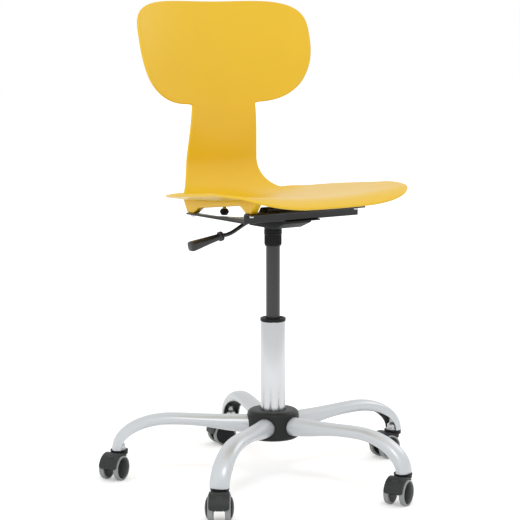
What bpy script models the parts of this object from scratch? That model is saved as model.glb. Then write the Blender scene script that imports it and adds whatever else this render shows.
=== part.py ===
"""Swivel chair: a one-piece plastic shell on a gas lift, over a five-arm base with twin-wheel casters.

Metres, +Z up, floor at z = 0. The sitter faces -Y, and the sitter's right is -X. Shapes are measured from
the column's axis, which stands at (COLUMN_X, COLUMN_Y), so that the origin lies under the chair's middle.
"""

import math

import bmesh
import bpy
from mathutils import Matrix, Vector

# Frame and fits
COLUMN_X = -0.0121
COLUMN_Y = 0.0043
GAP = 0.0003
MERGE = 0.00005

# Casters
WHEEL_RADIUS = 0.025
WHEEL_FACETS = 20
TYRE_WALL = 0.0043
TYRE_INNER_Y = 0.0110
TYRE_WIDTH = 0.0105
TYRE_SHOULDER = 0.0020
WHEEL_CROWN = 0.0058
DOME_STEPS = 4
HUB_BOSS_RADIUS = 0.0075
AXLE_RADIUS = 0.003
AXLE_REACH = 0.014
CASTER_WEB = 0.014
WEB_CLEARANCE = 0.0008
CASTER_TRAIL = 0.0205
HOOD_WIDTH = 0.039
HOOD_WALL = 0.0024
HOOD_CLEARANCE = 0.0012
HOOD_LOW_ANGLE = math.radians(4.0)
HOOD_HIGH_ANGLE = math.radians(75.0)
CASTER_COLLAR_RADIUS = 0.018
CASTER_COLLAR_HEIGHT = 0.009
HOOD_OVERLAP = 0.003
HOOD_NECK = 0.0108
HOOD_REAR = 0.009
HOOD_REAR_DEPTH = 0.010
AXLE_BOSS = 0.0065
CASTER_HEIGHT = 0.0577
STEM_RADIUS = 0.0055
STEM_REACH = 0.0165
STEM_SEAT = 0.016
CASTER_HEADINGS = [math.radians(a) for a in (178.0, 170.0, 209.0, 234.0, 207.0)]

# Base
ARM_COUNT = 5
CASTER_CIRCLE = 0.310
ARM_WALL = 0.002
ARM_HUB_RADIUS = 0.019
ARM_MID_DEPTH = 0.0235
ARM_END_DEPTH = 0.019
ARM_END_OUT = 0.005
ARM_END_WIDTH = 0.0365
ARM_HUB_Z = 0.1115
ARM_CREST_Z = 0.1215
ARM_BEND_LENGTH = 0.107
ARM_SEAM = math.radians(8.0)
ARM_FLAT_SHARE = 0.4
ARM_OPEN_START = 0.3
ARM_OPEN_SHARE = 0.5
SOCKET_WALL = 0.006
SOCKET_DEPTH = 0.0150
SOCKET_FLANGE = 0.0135
SOCKET_FLANGE_HEIGHT = 0.003
HUB_CORE_RADIUS = 0.033
HUB_CORE_BOTTOM = 0.0845
HUB_CORE_HEIGHT = 0.051
HUB_COVER_RADIUS = 0.052
HUB_COVER_CAP = 0.006
HUB_COVER_SHOULDER = 0.014
HUB_COVER_FOOT = 0.006
ARM_HOLE_GAP = 0.0012

# Gas lift
TUBE_RADIUS = 0.025
TUBE_WALL = 0.002
TUBE_BOTTOM = 0.088
TUBE_TOP = 0.321
TUBE_FLOOR = 0.004
BUSH_LIP = 0.0062
BUSH_LIP_RADIUS = 0.0255
BUSH_DISH = 0.0034
BUSH_DISH_RADIUS = 0.0222
BUSH_LENGTH = 0.062
CYLINDER_RADIUS = 0.014
CYLINDER_BELOW_BUSH = 0.006
CYLINDER_BORE = 0.175
CYLINDER_PROUD = 0.0012
LIFT_EXPOSED = 0.1446
ROD_RADIUS = 0.005
ROD_IN_CYLINDER = 0.034
ROD_COLLAR_RADIUS = 0.009
ROD_COLLAR_HEIGHT = 0.003
BEARING_RADIUS = 0.014
BEARING_HEIGHT = 0.008
CLIP_RADIUS = 0.0085
CLIP_HEIGHT = 0.0025
COLLAR_LENGTH = 0.0265
COLLAR_RADIUS = 0.0165
COLLAR_FLANGE_RADIUS = 0.0178
COLLAR_FLANGE = 0.004
VALVE_RADIUS = 0.0035
VALVE_DEPTH = 0.012
VALVE_REST_DEPTH = 0.006

# Mechanism and seat plate
SOCKET_CONE = 0.0127
SOCKET_CONE_TOP_RADIUS = 0.0195
PAN_WALL = 0.003
PAN_DEPTH = 0.0213
PAN_HALF_WIDTH = 0.034
PAN_FRONT = 0.083
PAN_REAR = 0.040
PAN_FRONT_SLOPE = 0.034
PAN_FRONT_EDGE = 0.0081
PAN_REAR_CHAMFER = 0.006
PLATE_SHEET = 0.003
PLATE_HALF_WIDTH = 0.1365
PLATE_FRONT = 0.0985
PLATE_REAR = 0.109
UPSTAND = 0.0135
SIDE_UPSTAND = 0.0065
SIDE_INSET = 0.0003
FLANGE_DEPTH = 0.0240
BAR_HALF_WIDTH = 0.085
BAR_SLOPE = 0.012
BAR_FRONT = 0.085
BAR_REAR = 0.060
BAR_HEIGHT = 0.0222
PLATE_ARM_WIDTH = 0.0225
TONGUE_HALF_WIDTH = 0.042
TONGUE_REAR = 0.041
NOTCH_FRONT = 0.012
NOTCH_GUSSET = 0.024
NOTCH_GUSSET_LENGTH = 0.042
BUFFER_RADIUS = 0.0086
BUFFER_HEIGHT = 0.0125
BUFFER_CLEARANCE = 0.0013
BUFFER_BOSS_RADIUS = 0.0035
BUFFER_X = 0.101
BUFFER_Y = 0.022

# Release lever
LEVER_RADIUS = 0.004
LEVER_CLEARANCE = 0.001
LEVER_PIVOT = 0.030
LEVER_ABOVE_FLOOR = 0.0105
LEVER_STRAIGHT = 0.046
LEVER_DROP = 0.0241
LEVER_DROP_RUN = 0.0715
LEVER_SLOPE = math.radians(12.3)
HANDLE_LENGTH = 0.080
HANDLE_COLLAR_RADIUS = 0.0095
HANDLE_COLLAR_START = 0.004
HANDLE_COLLAR_END = 0.011
HANDLE_COLLAR_STEP = 0.0015
HANDLE_NECK_RADIUS = 0.0062
HANDLE_MIDDLE_RADIUS = 0.0080
HANDLE_END_RADIUS = 0.0103
HANDLE_END_ROUND = 0.006
HANDLE_GRIP_ON_ROD = 0.030
VALVE_CLEARANCE = 0.0006

# Shell
SHELL_SHEET = 0.0055
SHELL_FRONT = 0.2211
SHELL_RISE = 0.0321
LIP_LENGTH = 0.0591
LIP_ANGLE = math.radians(36.9)
SEAT_LENGTH = 0.2713
SEAT_FRONT_ANGLE = math.radians(-8.1)
SEAT_REAR_ANGLE = math.radians(-2.2)
BEND_RADIUS = 0.071
NECK_ANGLE = math.radians(95.5)
BACK_LENGTH = 0.3208
BACK_TOP_ANGLE = math.radians(70.95)
NECK_LENGTH = 0.1099
SEAT_HALF_WIDTH = 0.2114
SEAT_FRONT_ROUND = 0.1351
SEAT_FRONT_POWER = 3.47
SEAT_FIRST_ROW = 0.0014
SEAT_REAR_ROUND = 0.2037
SEAT_REAR_REACH = 0.0402
SEAT_REAR_POWER = 2.44
NECK_ROOT_HALF = 0.1198
NECK_LOW_HALF = 0.0862
NECK_HIGH_HALF = 0.0767
BACK_HALF_WIDTH = 0.2067
BACK_LOW_ROUND = 0.1292
BACK_LOW_POWER = 2.44
BACK_TOP_HALF = 0.0292
BACK_TOP_POWER = 3.22
SEAT_FRONT_DISH = 0.46
SEAT_DISH = 1.03
BEND_DISH = 0.0
NECK_DISH = 1.96
BACK_LOW_DISH = 1.775
BACK_TOP_DISH = 1.556
BACK_DISH_BLEND = 0.06
RAIL_WIDTH = 0.016
RAIL_INSET = 0.0007
RAIL_REAR_RISE = 0.0125
RAIL_FRONT_RISE = 0.0295
FOOT_HALF = 0.0105
FOOT_FRONT_HALF = 0.0085
FOOT_MARGIN = 0.001
FOOT_INNER_FLARE = 0.020
FOOT_OUTER_FLARE = 0.0235
FOOT_FRONT_FLARE = 0.0315

# Seat screws
SCREW_RADIUS = 0.003
SCREW_HEAD_RADIUS = 0.0055
SCREW_HEAD = 0.004
SCREW_IN_FOOT = 0.009

# Places worked out from the sizes above, from the floor up
ARM_END_Z = CASTER_HEIGHT + GAP
ARM_BEND_START = CASTER_CIRCLE + ARM_END_OUT - ARM_BEND_LENGTH
BUSH_TOP = TUBE_TOP + GAP + BUSH_LIP
COLLAR_BOTTOM = BUSH_TOP + LIFT_EXPOSED
COLLAR_TOP = COLLAR_BOTTOM + COLLAR_LENGTH
CONE_BOTTOM = COLLAR_TOP + GAP
PAN_BOTTOM = CONE_BOTTOM + SOCKET_CONE
PAN_FLOOR = PAN_BOTTOM + PAN_WALL
PAN_TOP = PAN_BOTTOM + PAN_DEPTH
PLATE_BOTTOM = PAN_TOP + GAP
PLATE_TOP = PLATE_BOTTOM + PLATE_SHEET
FLANGE_TOP = PLATE_TOP + UPSTAND + PLATE_SHEET
LEVER_Z = PAN_FLOOR + LEVER_ABOVE_FLOOR
VALVE_TOP = LEVER_Z - LEVER_RADIUS - VALVE_CLEARANCE
CYLINDER_TOP = PAN_FLOOR + CYLINDER_PROUD
CYLINDER_BOTTOM = TUBE_TOP - BUSH_LENGTH - CYLINDER_BELOW_BUSH
SHELL_FRONT_Z = PLATE_TOP + SHELL_RISE
SIDE_OUTER = PLATE_HALF_WIDTH - SIDE_INSET
RAIL_X = SIDE_OUTER - PLATE_SHEET - RAIL_INSET - RAIL_WIDTH / 2
SCREW_FRONT = PLATE_FRONT + FLANGE_DEPTH / 4
SCREW_REAR = PLATE_REAR - FOOT_MARGIN - FOOT_HALF
BEND_START = LIP_LENGTH + SEAT_LENGTH
BEND_END = BEND_START + BEND_RADIUS * (NECK_ANGLE - SEAT_REAR_ANGLE)
NECK_END = BEND_END + NECK_LENGTH
SHELL_END = BEND_END + BACK_LENGTH
SEAT_REAR_END = BEND_START + SEAT_REAR_REACH
SEAT_REAR_START = SEAT_REAR_END - SEAT_REAR_ROUND
BACK_WIDEST = NECK_END + BACK_LOW_ROUND

for old in list(bpy.data.objects):
    bpy.data.objects.remove(old)

chair = bpy.data.collections.new("swivel_chair")
bpy.context.scene.collection.children.link(chair)
construction = bpy.data.collections.new("construction")
bpy.context.scene.collection.children.link(construction)


# Modelling helpers


def material(name, colour, roughness, metallic=0.0):
    made = bpy.data.materials.new(name)
    made.use_nodes = True
    shader = made.node_tree.nodes["Principled BSDF"]
    shader.inputs["Base Color"].default_value = (*colour, 1.0)
    shader.inputs["Roughness"].default_value = roughness
    shader.inputs["Metallic"].default_value = metallic
    return made


def helper(data):
    """A construction object, left out of the finished chair."""
    made = bpy.data.objects.new("construction", data)
    made.hide_render = True
    made.display_type = "WIRE"
    construction.objects.link(made)
    return made


def baked(shape):
    """The mesh that an object's curve settings and modifiers give. The object is removed."""
    bpy.context.view_layer.update()
    graph = bpy.context.evaluated_depsgraph_get()
    mesh = bpy.data.meshes.new_from_object(shape.evaluated_get(graph))
    bpy.data.objects.remove(shape)
    work = bmesh.new()
    work.from_mesh(mesh)
    bmesh.ops.remove_doubles(work, verts=work.verts, dist=MERGE)
    work.to_mesh(mesh)
    work.free()
    return mesh


def turned(profile, steps, closed=False):
    """A mesh turned about Z from (radius, height) points that run down its outer side."""
    points = [(radius, 0.0, height) for radius, height in profile]
    edges = [(i, i + 1) for i in range(len(points) - 1)]
    if closed:
        edges.append((len(points) - 1, 0))
    mesh = bpy.data.meshes.new("profile")
    mesh.from_pydata(points, edges, [])
    shape = helper(mesh)
    screw = shape.modifiers.new("Turn", "SCREW")
    screw.steps = steps
    screw.render_steps = steps
    screw.use_merge_vertices = True
    screw.merge_threshold = MERGE
    return baked(shape)


def ring(inner, outer, bottom, top, steps):
    profile = [(outer, top), (outer, bottom), (inner, bottom), (inner, top)]
    return turned(profile, steps, closed=True)


def rod(radius, bottom, top, steps):
    return turned([(0.0, top), (radius, top), (radius, bottom), (0.0, bottom)], steps)


def box(low, high):
    low, high = Vector(low), Vector(high)
    work = bmesh.new()
    place = Matrix.Translation((low + high) / 2) @ Matrix.Diagonal((*(high - low), 1.0))
    bmesh.ops.create_cube(work, size=1.0, matrix=place)
    mesh = bpy.data.meshes.new("box")
    work.to_mesh(mesh)
    work.free()
    return mesh


def side_prism(outline, x_low, x_high):
    """A flat outline of (y, z) points, extruded along X."""
    curve = bpy.data.curves.new("outline", "CURVE")
    curve.dimensions = "2D"
    curve.fill_mode = "BOTH"
    curve.extrude = (x_high - x_low) / 2
    spline = curve.splines.new("POLY")
    spline.points.add(len(outline) - 1)
    for point, (across, up) in zip(spline.points, outline):
        point.co = (across, up, 0.0, 1.0)
    spline.use_cyclic_u = True
    mesh = baked(helper(curve))
    # The curve's own X, Y and Z become the part's Y, Z and X.
    axes = Matrix(((0, 0, 1, (x_low + x_high) / 2), (1, 0, 0, 0), (0, 1, 0, 0), (0, 0, 0, 1)))
    mesh.transform(axes)
    return mesh


def tube(points, radii):
    """A round bar along a smooth line of points, with a radius at each."""
    curve = bpy.data.curves.new("line", "CURVE")
    curve.dimensions = "3D"
    curve.bevel_depth = 1.0
    curve.bevel_resolution = 2
    curve.use_fill_caps = True
    spline = curve.splines.new("POLY")
    spline.points.add(len(points) - 1)
    for point, place, radius in zip(spline.points, points, radii):
        point.co = (*place, 1.0)
        point.radius = radius
    return baked(helper(curve))


def sheet(columns, rows, place, thickness):
    """A grid whose points place(across, along) sets, thickened away from its upper face."""
    work = bmesh.new()
    bmesh.ops.create_grid(work, x_segments=columns, y_segments=rows, size=0.5)
    for vertex in work.verts:
        vertex.co = place(vertex.co.x + 0.5, vertex.co.y + 0.5)
    mesh = bpy.data.meshes.new("sheet")
    work.to_mesh(mesh)
    work.free()
    shape = helper(mesh)
    solidify = shape.modifiers.new("Thickness", "SOLIDIFY")
    solidify.thickness = thickness
    solidify.offset = -1.0
    return baked(shape)


def shaped(mesh, joins=(), cuts=()):
    """The mesh joined with some meshes and then cut by others."""
    shape = helper(mesh)
    tools = []
    for operation, meshes in (("UNION", joins), ("DIFFERENCE", cuts)):
        for tool_mesh in meshes:
            boolean = shape.modifiers.new(operation, "BOOLEAN")
            boolean.operation = operation
            boolean.object = helper(tool_mesh)
            tools.append(boolean.object)
    result = baked(shape)
    for tool in tools:
        bpy.data.objects.remove(tool)
    return result


def moved(mesh, matrix):
    mesh.transform(matrix)
    return mesh


def pivot(name, parent, location=(0.0, 0.0, 0.0), turn=0.0):
    made = bpy.data.objects.new(name, None)
    chair.objects.link(made)
    made.parent = parent
    made.location = location
    made.rotation_euler = (0.0, 0.0, turn)
    return made


def part(name, mesh, finish, parent, location=(0.0, 0.0, 0.0), turn=0.0):
    if not mesh.materials:
        mesh.materials.append(finish)
        mesh.shade_smooth()
        mesh.set_sharp_from_angle(angle=math.radians(35.0))
    made = bpy.data.objects.new(name, mesh)
    chair.objects.link(made)
    made.parent = parent
    made.location = location
    made.rotation_euler = (0.0, 0.0, turn)
    return made


def arc(centre, radius, start, end, count):
    """Points (across, up) on an arc, from one angle to another."""
    angles = [start + (end - start) * i / count for i in range(count + 1)]
    return [(centre[0] + radius * math.cos(a), centre[1] + radius * math.sin(a)) for a in angles]


# Finishes

yellow_plastic = material("yellow_plastic", (0.80, 0.49, 0.05), 0.45)
silver_paint = material("silver_paint", (0.66, 0.70, 0.73), 0.35, 0.6)
chrome = material("chrome", (0.85, 0.86, 0.88), 0.10, 1.0)
black_steel = material("black_steel", (0.045, 0.046, 0.048), 0.40, 0.3)
black_plastic = material("black_plastic", (0.040, 0.041, 0.043), 0.50)
plain_steel = material("plain_steel", (0.55, 0.56, 0.57), 0.30, 1.0)
grey_tread = material("grey_tread", (0.36, 0.37, 0.38), 0.65)
black_rubber = material("black_rubber", (0.02, 0.02, 0.02), 0.80)

# Moving frames: the chair stands still, the rod turns in it, and the seat slides on the rod

root = pivot("chair_frame", None, (COLUMN_X, COLUMN_Y, 0.0))
swivel = pivot("swivel_frame", root)
lift = pivot("lift_frame", swivel)
lever = pivot("lever_frame", lift, (-LEVER_PIVOT, 0.0, LEVER_Z))


# Base arms: round at the hub, then a channel that is open underneath and bends down to the caster


def arm_station(along):
    """Radius, height and heading of the arm's middle line, from 0 at the hub to 1 at the caster."""
    hub_end = HUB_CORE_RADIUS + 2 * GAP
    level = ARM_BEND_START - hub_end
    drop = ARM_CREST_Z - ARM_END_Z
    # The bend takes the second half of the stations.
    if along < 0.5:
        share = along / 0.5
        rise = ARM_CREST_Z - ARM_HUB_Z
        ease = (1.0 - math.cos(share * math.pi)) / 2
        slope = rise / level * math.pi / 2 * math.sin(share * math.pi)
        return hub_end + level * share, ARM_HUB_Z + rise * ease, math.atan(slope)
    angle = (along - 0.5) * math.pi
    radius = ARM_BEND_START + ARM_BEND_LENGTH * math.sin(angle)
    height = ARM_END_Z + drop * math.cos(angle)
    return radius, height, -math.atan2(drop * math.sin(angle), ARM_BEND_LENGTH * math.cos(angle))


def arm_point(across, along):
    radius, height, heading = arm_station(along)
    flatten = min(1.0, along / ARM_FLAT_SHARE)
    spread = max(0.0, min(1.0, (along - ARM_OPEN_START) / ARM_OPEN_SHARE))
    depth = 2 * ARM_HUB_RADIUS + (ARM_MID_DEPTH - 2 * ARM_HUB_RADIUS) * flatten
    depth += (ARM_END_DEPTH - ARM_MID_DEPTH) * max(0.0, along - ARM_FLAT_SHARE) / (1.0 - ARM_FLAT_SHARE)
    half_width = ARM_HUB_RADIUS + (ARM_END_WIDTH / 2 - ARM_HUB_RADIUS) * flatten
    # The section runs from one edge of the seam, over the top, to the other edge.
    angle = (1 - 2 * across) * (math.pi - ARM_SEAM)
    sideways = half_width * math.sin(angle)
    if abs(angle) > math.pi / 2:
        leg = math.copysign(half_width, angle)
        sideways += (leg - sideways) * spread
    normal = depth / 2 * math.cos(angle)
    return (radius - normal * math.sin(heading), sideways, height + normal * math.cos(heading))


socket_outer = STEM_RADIUS + GAP + SOCKET_WALL
socket_profile = [
    (socket_outer, ARM_END_Z + SOCKET_DEPTH),
    (socket_outer, ARM_END_Z + SOCKET_FLANGE_HEIGHT),
    (SOCKET_FLANGE, ARM_END_Z + SOCKET_FLANGE_HEIGHT),
    (SOCKET_FLANGE, ARM_END_Z),
    (STEM_RADIUS + GAP, ARM_END_Z),
    (STEM_RADIUS + GAP, ARM_END_Z + SOCKET_DEPTH),
]
socket = moved(turned(socket_profile, 16, closed=True), Matrix.Translation((CASTER_CIRCLE, 0.0, 0.0)))
# The arm's end is cut level, just above the caster's collar.
end_cut = box(
    (CASTER_CIRCLE - ARM_END_WIDTH, -ARM_END_WIDTH, 0.0),
    (CASTER_CIRCLE + ARM_END_WIDTH, ARM_END_WIDTH, ARM_END_Z),
)
arm_mesh = shaped(sheet(10, 10, arm_point, ARM_WALL), joins=[socket], cuts=[end_cut])
arm_angles = [2 * math.pi * i / ARM_COUNT for i in range(ARM_COUNT)]
for number, angle in enumerate(arm_angles, start=1):
    part(f"base_arm_{number}", arm_mesh, silver_paint, root, turn=angle)

# Hub: a steel core for the tube, and a black cover with a hole for each arm

core_top = HUB_CORE_BOTTOM + HUB_CORE_HEIGHT
core_mesh = ring(TUBE_RADIUS + GAP, HUB_CORE_RADIUS, HUB_CORE_BOTTOM, core_top, 24)
part("hub_core", core_mesh, plain_steel, root)

cover_inner = HUB_CORE_RADIUS + GAP
cover_top = core_top + GAP + HUB_COVER_CAP
shoulder_centre = (HUB_COVER_RADIUS - HUB_COVER_SHOULDER, cover_top - HUB_COVER_SHOULDER)
foot_centre = (HUB_COVER_RADIUS - HUB_COVER_FOOT, HUB_CORE_BOTTOM + HUB_COVER_FOOT)
cover_profile = [(TUBE_RADIUS + 2 * GAP, cover_top)]
cover_profile += arc(shoulder_centre, HUB_COVER_SHOULDER, math.pi / 2, 0.0, 3)
cover_profile += arc(foot_centre, HUB_COVER_FOOT, 0.0, -math.pi / 2, 2)
cover_profile += [
    (cover_inner, HUB_CORE_BOTTOM),
    (cover_inner, core_top + GAP),
    (TUBE_RADIUS + 2 * GAP, core_top + GAP),
]
arm_holes = []
for angle in arm_angles:
    lie_down = Matrix.Rotation(angle, 4, "Z") @ Matrix.Translation((0.0, 0.0, ARM_HUB_Z))
    lie_down = lie_down @ Matrix.Rotation(math.pi / 2, 4, "Y")
    hole = rod(ARM_HUB_RADIUS + ARM_HOLE_GAP, HUB_CORE_RADIUS / 2, HUB_COVER_RADIUS + ARM_HUB_RADIUS, 20)
    arm_holes.append(moved(hole, lie_down))
part("hub_cover", shaped(turned(cover_profile, 30, closed=True), cuts=arm_holes), black_plastic, root)

# Gas lift: outer tube with its bush and bearing, then the rod, then what slides on it

tube_inner = TUBE_RADIUS - TUBE_WALL
tube_profile = [
    (TUBE_RADIUS, TUBE_TOP),
    (TUBE_RADIUS, TUBE_BOTTOM),
    (ROD_RADIUS + GAP, TUBE_BOTTOM),
    (ROD_RADIUS + GAP, TUBE_BOTTOM + TUBE_FLOOR),
    (tube_inner, TUBE_BOTTOM + TUBE_FLOOR),
    (tube_inner, TUBE_TOP),
]
part("column_tube", turned(tube_profile, 24, closed=True), chrome, root)

bush_profile = [
    (BUSH_LIP_RADIUS, BUSH_TOP),
    (BUSH_LIP_RADIUS, TUBE_TOP + GAP),
    (tube_inner - GAP, TUBE_TOP + GAP),
    (tube_inner - GAP, TUBE_TOP - BUSH_LENGTH),
    (CYLINDER_RADIUS + GAP, TUBE_TOP - BUSH_LENGTH),
    (CYLINDER_RADIUS + GAP, BUSH_TOP - BUSH_DISH),
    (BUSH_DISH_RADIUS - BUSH_DISH, BUSH_TOP - BUSH_DISH),
    (BUSH_DISH_RADIUS, BUSH_TOP),
]
part("guide_bush", turned(bush_profile, 24, closed=True), black_plastic, root)

bearing_bottom = TUBE_BOTTOM + TUBE_FLOOR + GAP
bearing_top = bearing_bottom + BEARING_HEIGHT
bearing_mesh = ring(ROD_RADIUS + GAP, BEARING_RADIUS, bearing_bottom, bearing_top, 24)
part("thrust_bearing", bearing_mesh, plain_steel, root)

rod_collar_bottom = bearing_top + GAP
rod_top = CYLINDER_BOTTOM + ROD_IN_CYLINDER
clip_top = TUBE_BOTTOM - GAP
rod_profile = [
    (0.0, rod_top),
    (ROD_RADIUS, rod_top),
    (ROD_RADIUS, rod_collar_bottom + ROD_COLLAR_HEIGHT),
    (ROD_COLLAR_RADIUS, rod_collar_bottom + ROD_COLLAR_HEIGHT),
    (ROD_COLLAR_RADIUS, rod_collar_bottom),
    (ROD_RADIUS, rod_collar_bottom),
    (ROD_RADIUS, clip_top),
    (CLIP_RADIUS, clip_top),
    (CLIP_RADIUS, clip_top - CLIP_HEIGHT),
    (0.0, clip_top - CLIP_HEIGHT),
]
part("piston_rod", turned(rod_profile, 24), plain_steel, swivel)

bore_top = CYLINDER_BOTTOM + CYLINDER_BORE
valve_hole_bottom = CYLINDER_TOP - VALVE_DEPTH
cylinder_profile = [
    (0.0, valve_hole_bottom),
    (VALVE_RADIUS + GAP, valve_hole_bottom),
    (VALVE_RADIUS + GAP, CYLINDER_TOP),
    (CYLINDER_RADIUS, CYLINDER_TOP),
    (CYLINDER_RADIUS, CYLINDER_BOTTOM),
    (ROD_RADIUS + GAP, CYLINDER_BOTTOM),
    (ROD_RADIUS + GAP, bore_top),
    (0.0, bore_top),
]
part("gas_cylinder", turned(cylinder_profile, 24), black_steel, lift)

valve_mesh = rod(VALVE_RADIUS, CYLINDER_TOP - VALVE_REST_DEPTH, VALVE_TOP, 24)
part("valve_pin", valve_mesh, plain_steel, lift)

collar_profile = [
    (COLLAR_FLANGE_RADIUS, COLLAR_TOP),
    (COLLAR_FLANGE_RADIUS, COLLAR_TOP - COLLAR_FLANGE),
    (COLLAR_RADIUS, COLLAR_TOP - COLLAR_FLANGE),
    (COLLAR_RADIUS, COLLAR_BOTTOM),
    (CYLINDER_RADIUS + GAP, COLLAR_BOTTOM),
    (CYLINDER_RADIUS + GAP, COLLAR_TOP),
]
part("column_collar", turned(collar_profile, 24, closed=True), black_plastic, lift)


# Mechanism housing: an open pan under the plate, with the socket for the cylinder and a slot for the lever


def pan_outline(inset, floor, top):
    front = -PAN_FRONT + inset
    rear = PAN_REAR - inset
    return [
        (front, top),
        (front, PAN_TOP - PAN_FRONT_EDGE),
        (front + PAN_FRONT_SLOPE, floor),
        (rear - PAN_REAR_CHAMFER, floor),
        (rear, floor + PAN_REAR_CHAMFER),
        (rear, top),
    ]


pan_mesh = side_prism(pan_outline(0.0, PAN_BOTTOM, PAN_TOP), -PAN_HALF_WIDTH, PAN_HALF_WIDTH)
pan_inner = PAN_HALF_WIDTH - PAN_WALL
pan_hollow = side_prism(pan_outline(PAN_WALL, PAN_FLOOR, PAN_TOP + PAN_WALL), -pan_inner, pan_inner)
cone_profile = [
    (0.0, PAN_FLOOR - PAN_WALL / 2),
    (SOCKET_CONE_TOP_RADIUS, PAN_FLOOR - PAN_WALL / 2),
    (SOCKET_CONE_TOP_RADIUS, PAN_BOTTOM - PAN_WALL / 2),
    (COLLAR_FLANGE_RADIUS, CONE_BOTTOM),
    (0.0, CONE_BOTTOM),
]
lever_slot_half = LEVER_RADIUS + LEVER_CLEARANCE
lever_slot = box(
    (-PAN_HALF_WIDTH - PAN_WALL, -lever_slot_half, LEVER_Z - lever_slot_half),
    (-pan_inner + PAN_WALL, lever_slot_half, PAN_TOP + PAN_WALL),
)
cylinder_hole = rod(CYLINDER_RADIUS + GAP, CONE_BOTTOM - PAN_WALL, PAN_TOP, 24)
pan_cuts = [pan_hollow, cylinder_hole, lever_slot]
housing_mesh = shaped(pan_mesh, joins=[turned(cone_profile, 24)], cuts=pan_cuts)
part("mechanism_housing", housing_mesh, black_steel, lift)

# Seat plate: a pressed sheet with a front upstand, its flange, tapered side upstands and a bar across.
# It is notched from the rear, which leaves a tongue over the housing and an arm under each side of the shell

front_y = -PLATE_FRONT
plate_section = [
    (PLATE_REAR, PLATE_BOTTOM),
    (PLATE_REAR, PLATE_TOP),
    (front_y + PLATE_SHEET, PLATE_TOP),
    (front_y + PLATE_SHEET, FLANGE_TOP - PLATE_SHEET / 2),
    (front_y, FLANGE_TOP - PLATE_SHEET / 2),
    (front_y, PLATE_BOTTOM),
]
side_outline = [
    (PLATE_REAR - PLATE_SHEET, PLATE_TOP - PLATE_SHEET / 2),
    (PLATE_REAR - PLATE_SHEET, PLATE_TOP + GAP),
    (front_y + PLATE_SHEET / 2, PLATE_TOP + SIDE_UPSTAND),
    (front_y + PLATE_SHEET / 2, PLATE_TOP - PLATE_SHEET / 2),
]
flange = box(
    (-SIDE_OUTER, front_y - FLANGE_DEPTH, FLANGE_TOP - PLATE_SHEET),
    (SIDE_OUTER, front_y + PLATE_SHEET, FLANGE_TOP),
)
bar_bottom = PLATE_TOP - PLATE_SHEET / 2
bar_top = PLATE_TOP + BAR_HEIGHT
bar_outline = [
    (-BAR_HALF_WIDTH, bar_bottom),
    (BAR_HALF_WIDTH, bar_bottom),
    (BAR_HALF_WIDTH - BAR_SLOPE, bar_top),
    (BAR_SLOPE - BAR_HALF_WIDTH, bar_top),
]
# The bar's outline lies across the chair, so it is extruded and then turned a quarter turn.
bar = moved(side_prism(bar_outline, -BAR_FRONT, -BAR_REAR), Matrix.Rotation(math.pi / 2, 4, "Z"))
plate_joins = [
    side_prism(side_outline, SIDE_OUTER - PLATE_SHEET, SIDE_OUTER),
    side_prism(side_outline, -SIDE_OUTER, PLATE_SHEET - SIDE_OUTER),
    flange,
    bar,
]
screw_places = []
for x in (-RAIL_X, RAIL_X):
    screw_places.append((x, -SCREW_FRONT, FLANGE_TOP - PLATE_SHEET, FLANGE_TOP))
    screw_places.append((x, SCREW_REAR, PLATE_BOTTOM, PLATE_TOP))
plate_holes = []
for x, y, seat, top in screw_places:
    hole = rod(SCREW_RADIUS + GAP, seat - PLATE_SHEET, top + PLATE_SHEET, 12)
    plate_holes.append(moved(hole, Matrix.Translation((x, y, 0.0))))
arm_inner = PLATE_HALF_WIDTH - PLATE_ARM_WIDTH
half_notch = [
    (TONGUE_HALF_WIDTH, TONGUE_REAR),
    (TONGUE_HALF_WIDTH, -NOTCH_FRONT),
    (arm_inner - NOTCH_GUSSET, -NOTCH_FRONT),
    (arm_inner, NOTCH_GUSSET_LENGTH - NOTCH_FRONT),
    (arm_inner, PLATE_REAR + PLATE_SHEET),
]
notch_outline = half_notch + [(-x, y) for x, y in reversed(half_notch)]
# The notch's (x, y) outline stands upright once the prism's axes have changed places.
upright_axes = Matrix(((0, 1, 0, 0), (0, 0, 1, 0), (1, 0, 0, 0), (0, 0, 0, 1)))
notch = moved(side_prism(notch_outline, PLATE_BOTTOM - PLATE_SHEET, PLATE_TOP + PLATE_SHEET), upright_axes)
plate_mesh = side_prism(plate_section, -PLATE_HALF_WIDTH, PLATE_HALF_WIDTH)
plate_cuts = plate_holes + [notch]
part("seat_plate", shaped(plate_mesh, joins=plate_joins, cuts=plate_cuts), black_steel, lift)

# Seat buffers: rubber pads that hang from bosses under the shell

buffer_bottom = PLATE_TOP + BUFFER_CLEARANCE
boss_bottom = buffer_bottom + BUFFER_HEIGHT + GAP
buffer_mesh = rod(BUFFER_RADIUS, 0.0, BUFFER_HEIGHT, 16)
for side, x in (("right", -BUFFER_X), ("left", BUFFER_X)):
    part(f"seat_buffer_{side}", buffer_mesh, black_rubber, lift, (x, BUFFER_Y, buffer_bottom))


# Seat shell: a sheet along a bent middle line, with a half-width and a dish at each distance along it


SHELL_ARCS = (
    (LIP_LENGTH, LIP_ANGLE, SEAT_FRONT_ANGLE),
    (SEAT_LENGTH, SEAT_FRONT_ANGLE, SEAT_REAR_ANGLE),
    (BEND_END - BEND_START, SEAT_REAR_ANGLE, NECK_ANGLE),
    (BACK_LENGTH, NECK_ANGLE, BACK_TOP_ANGLE),
)


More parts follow.
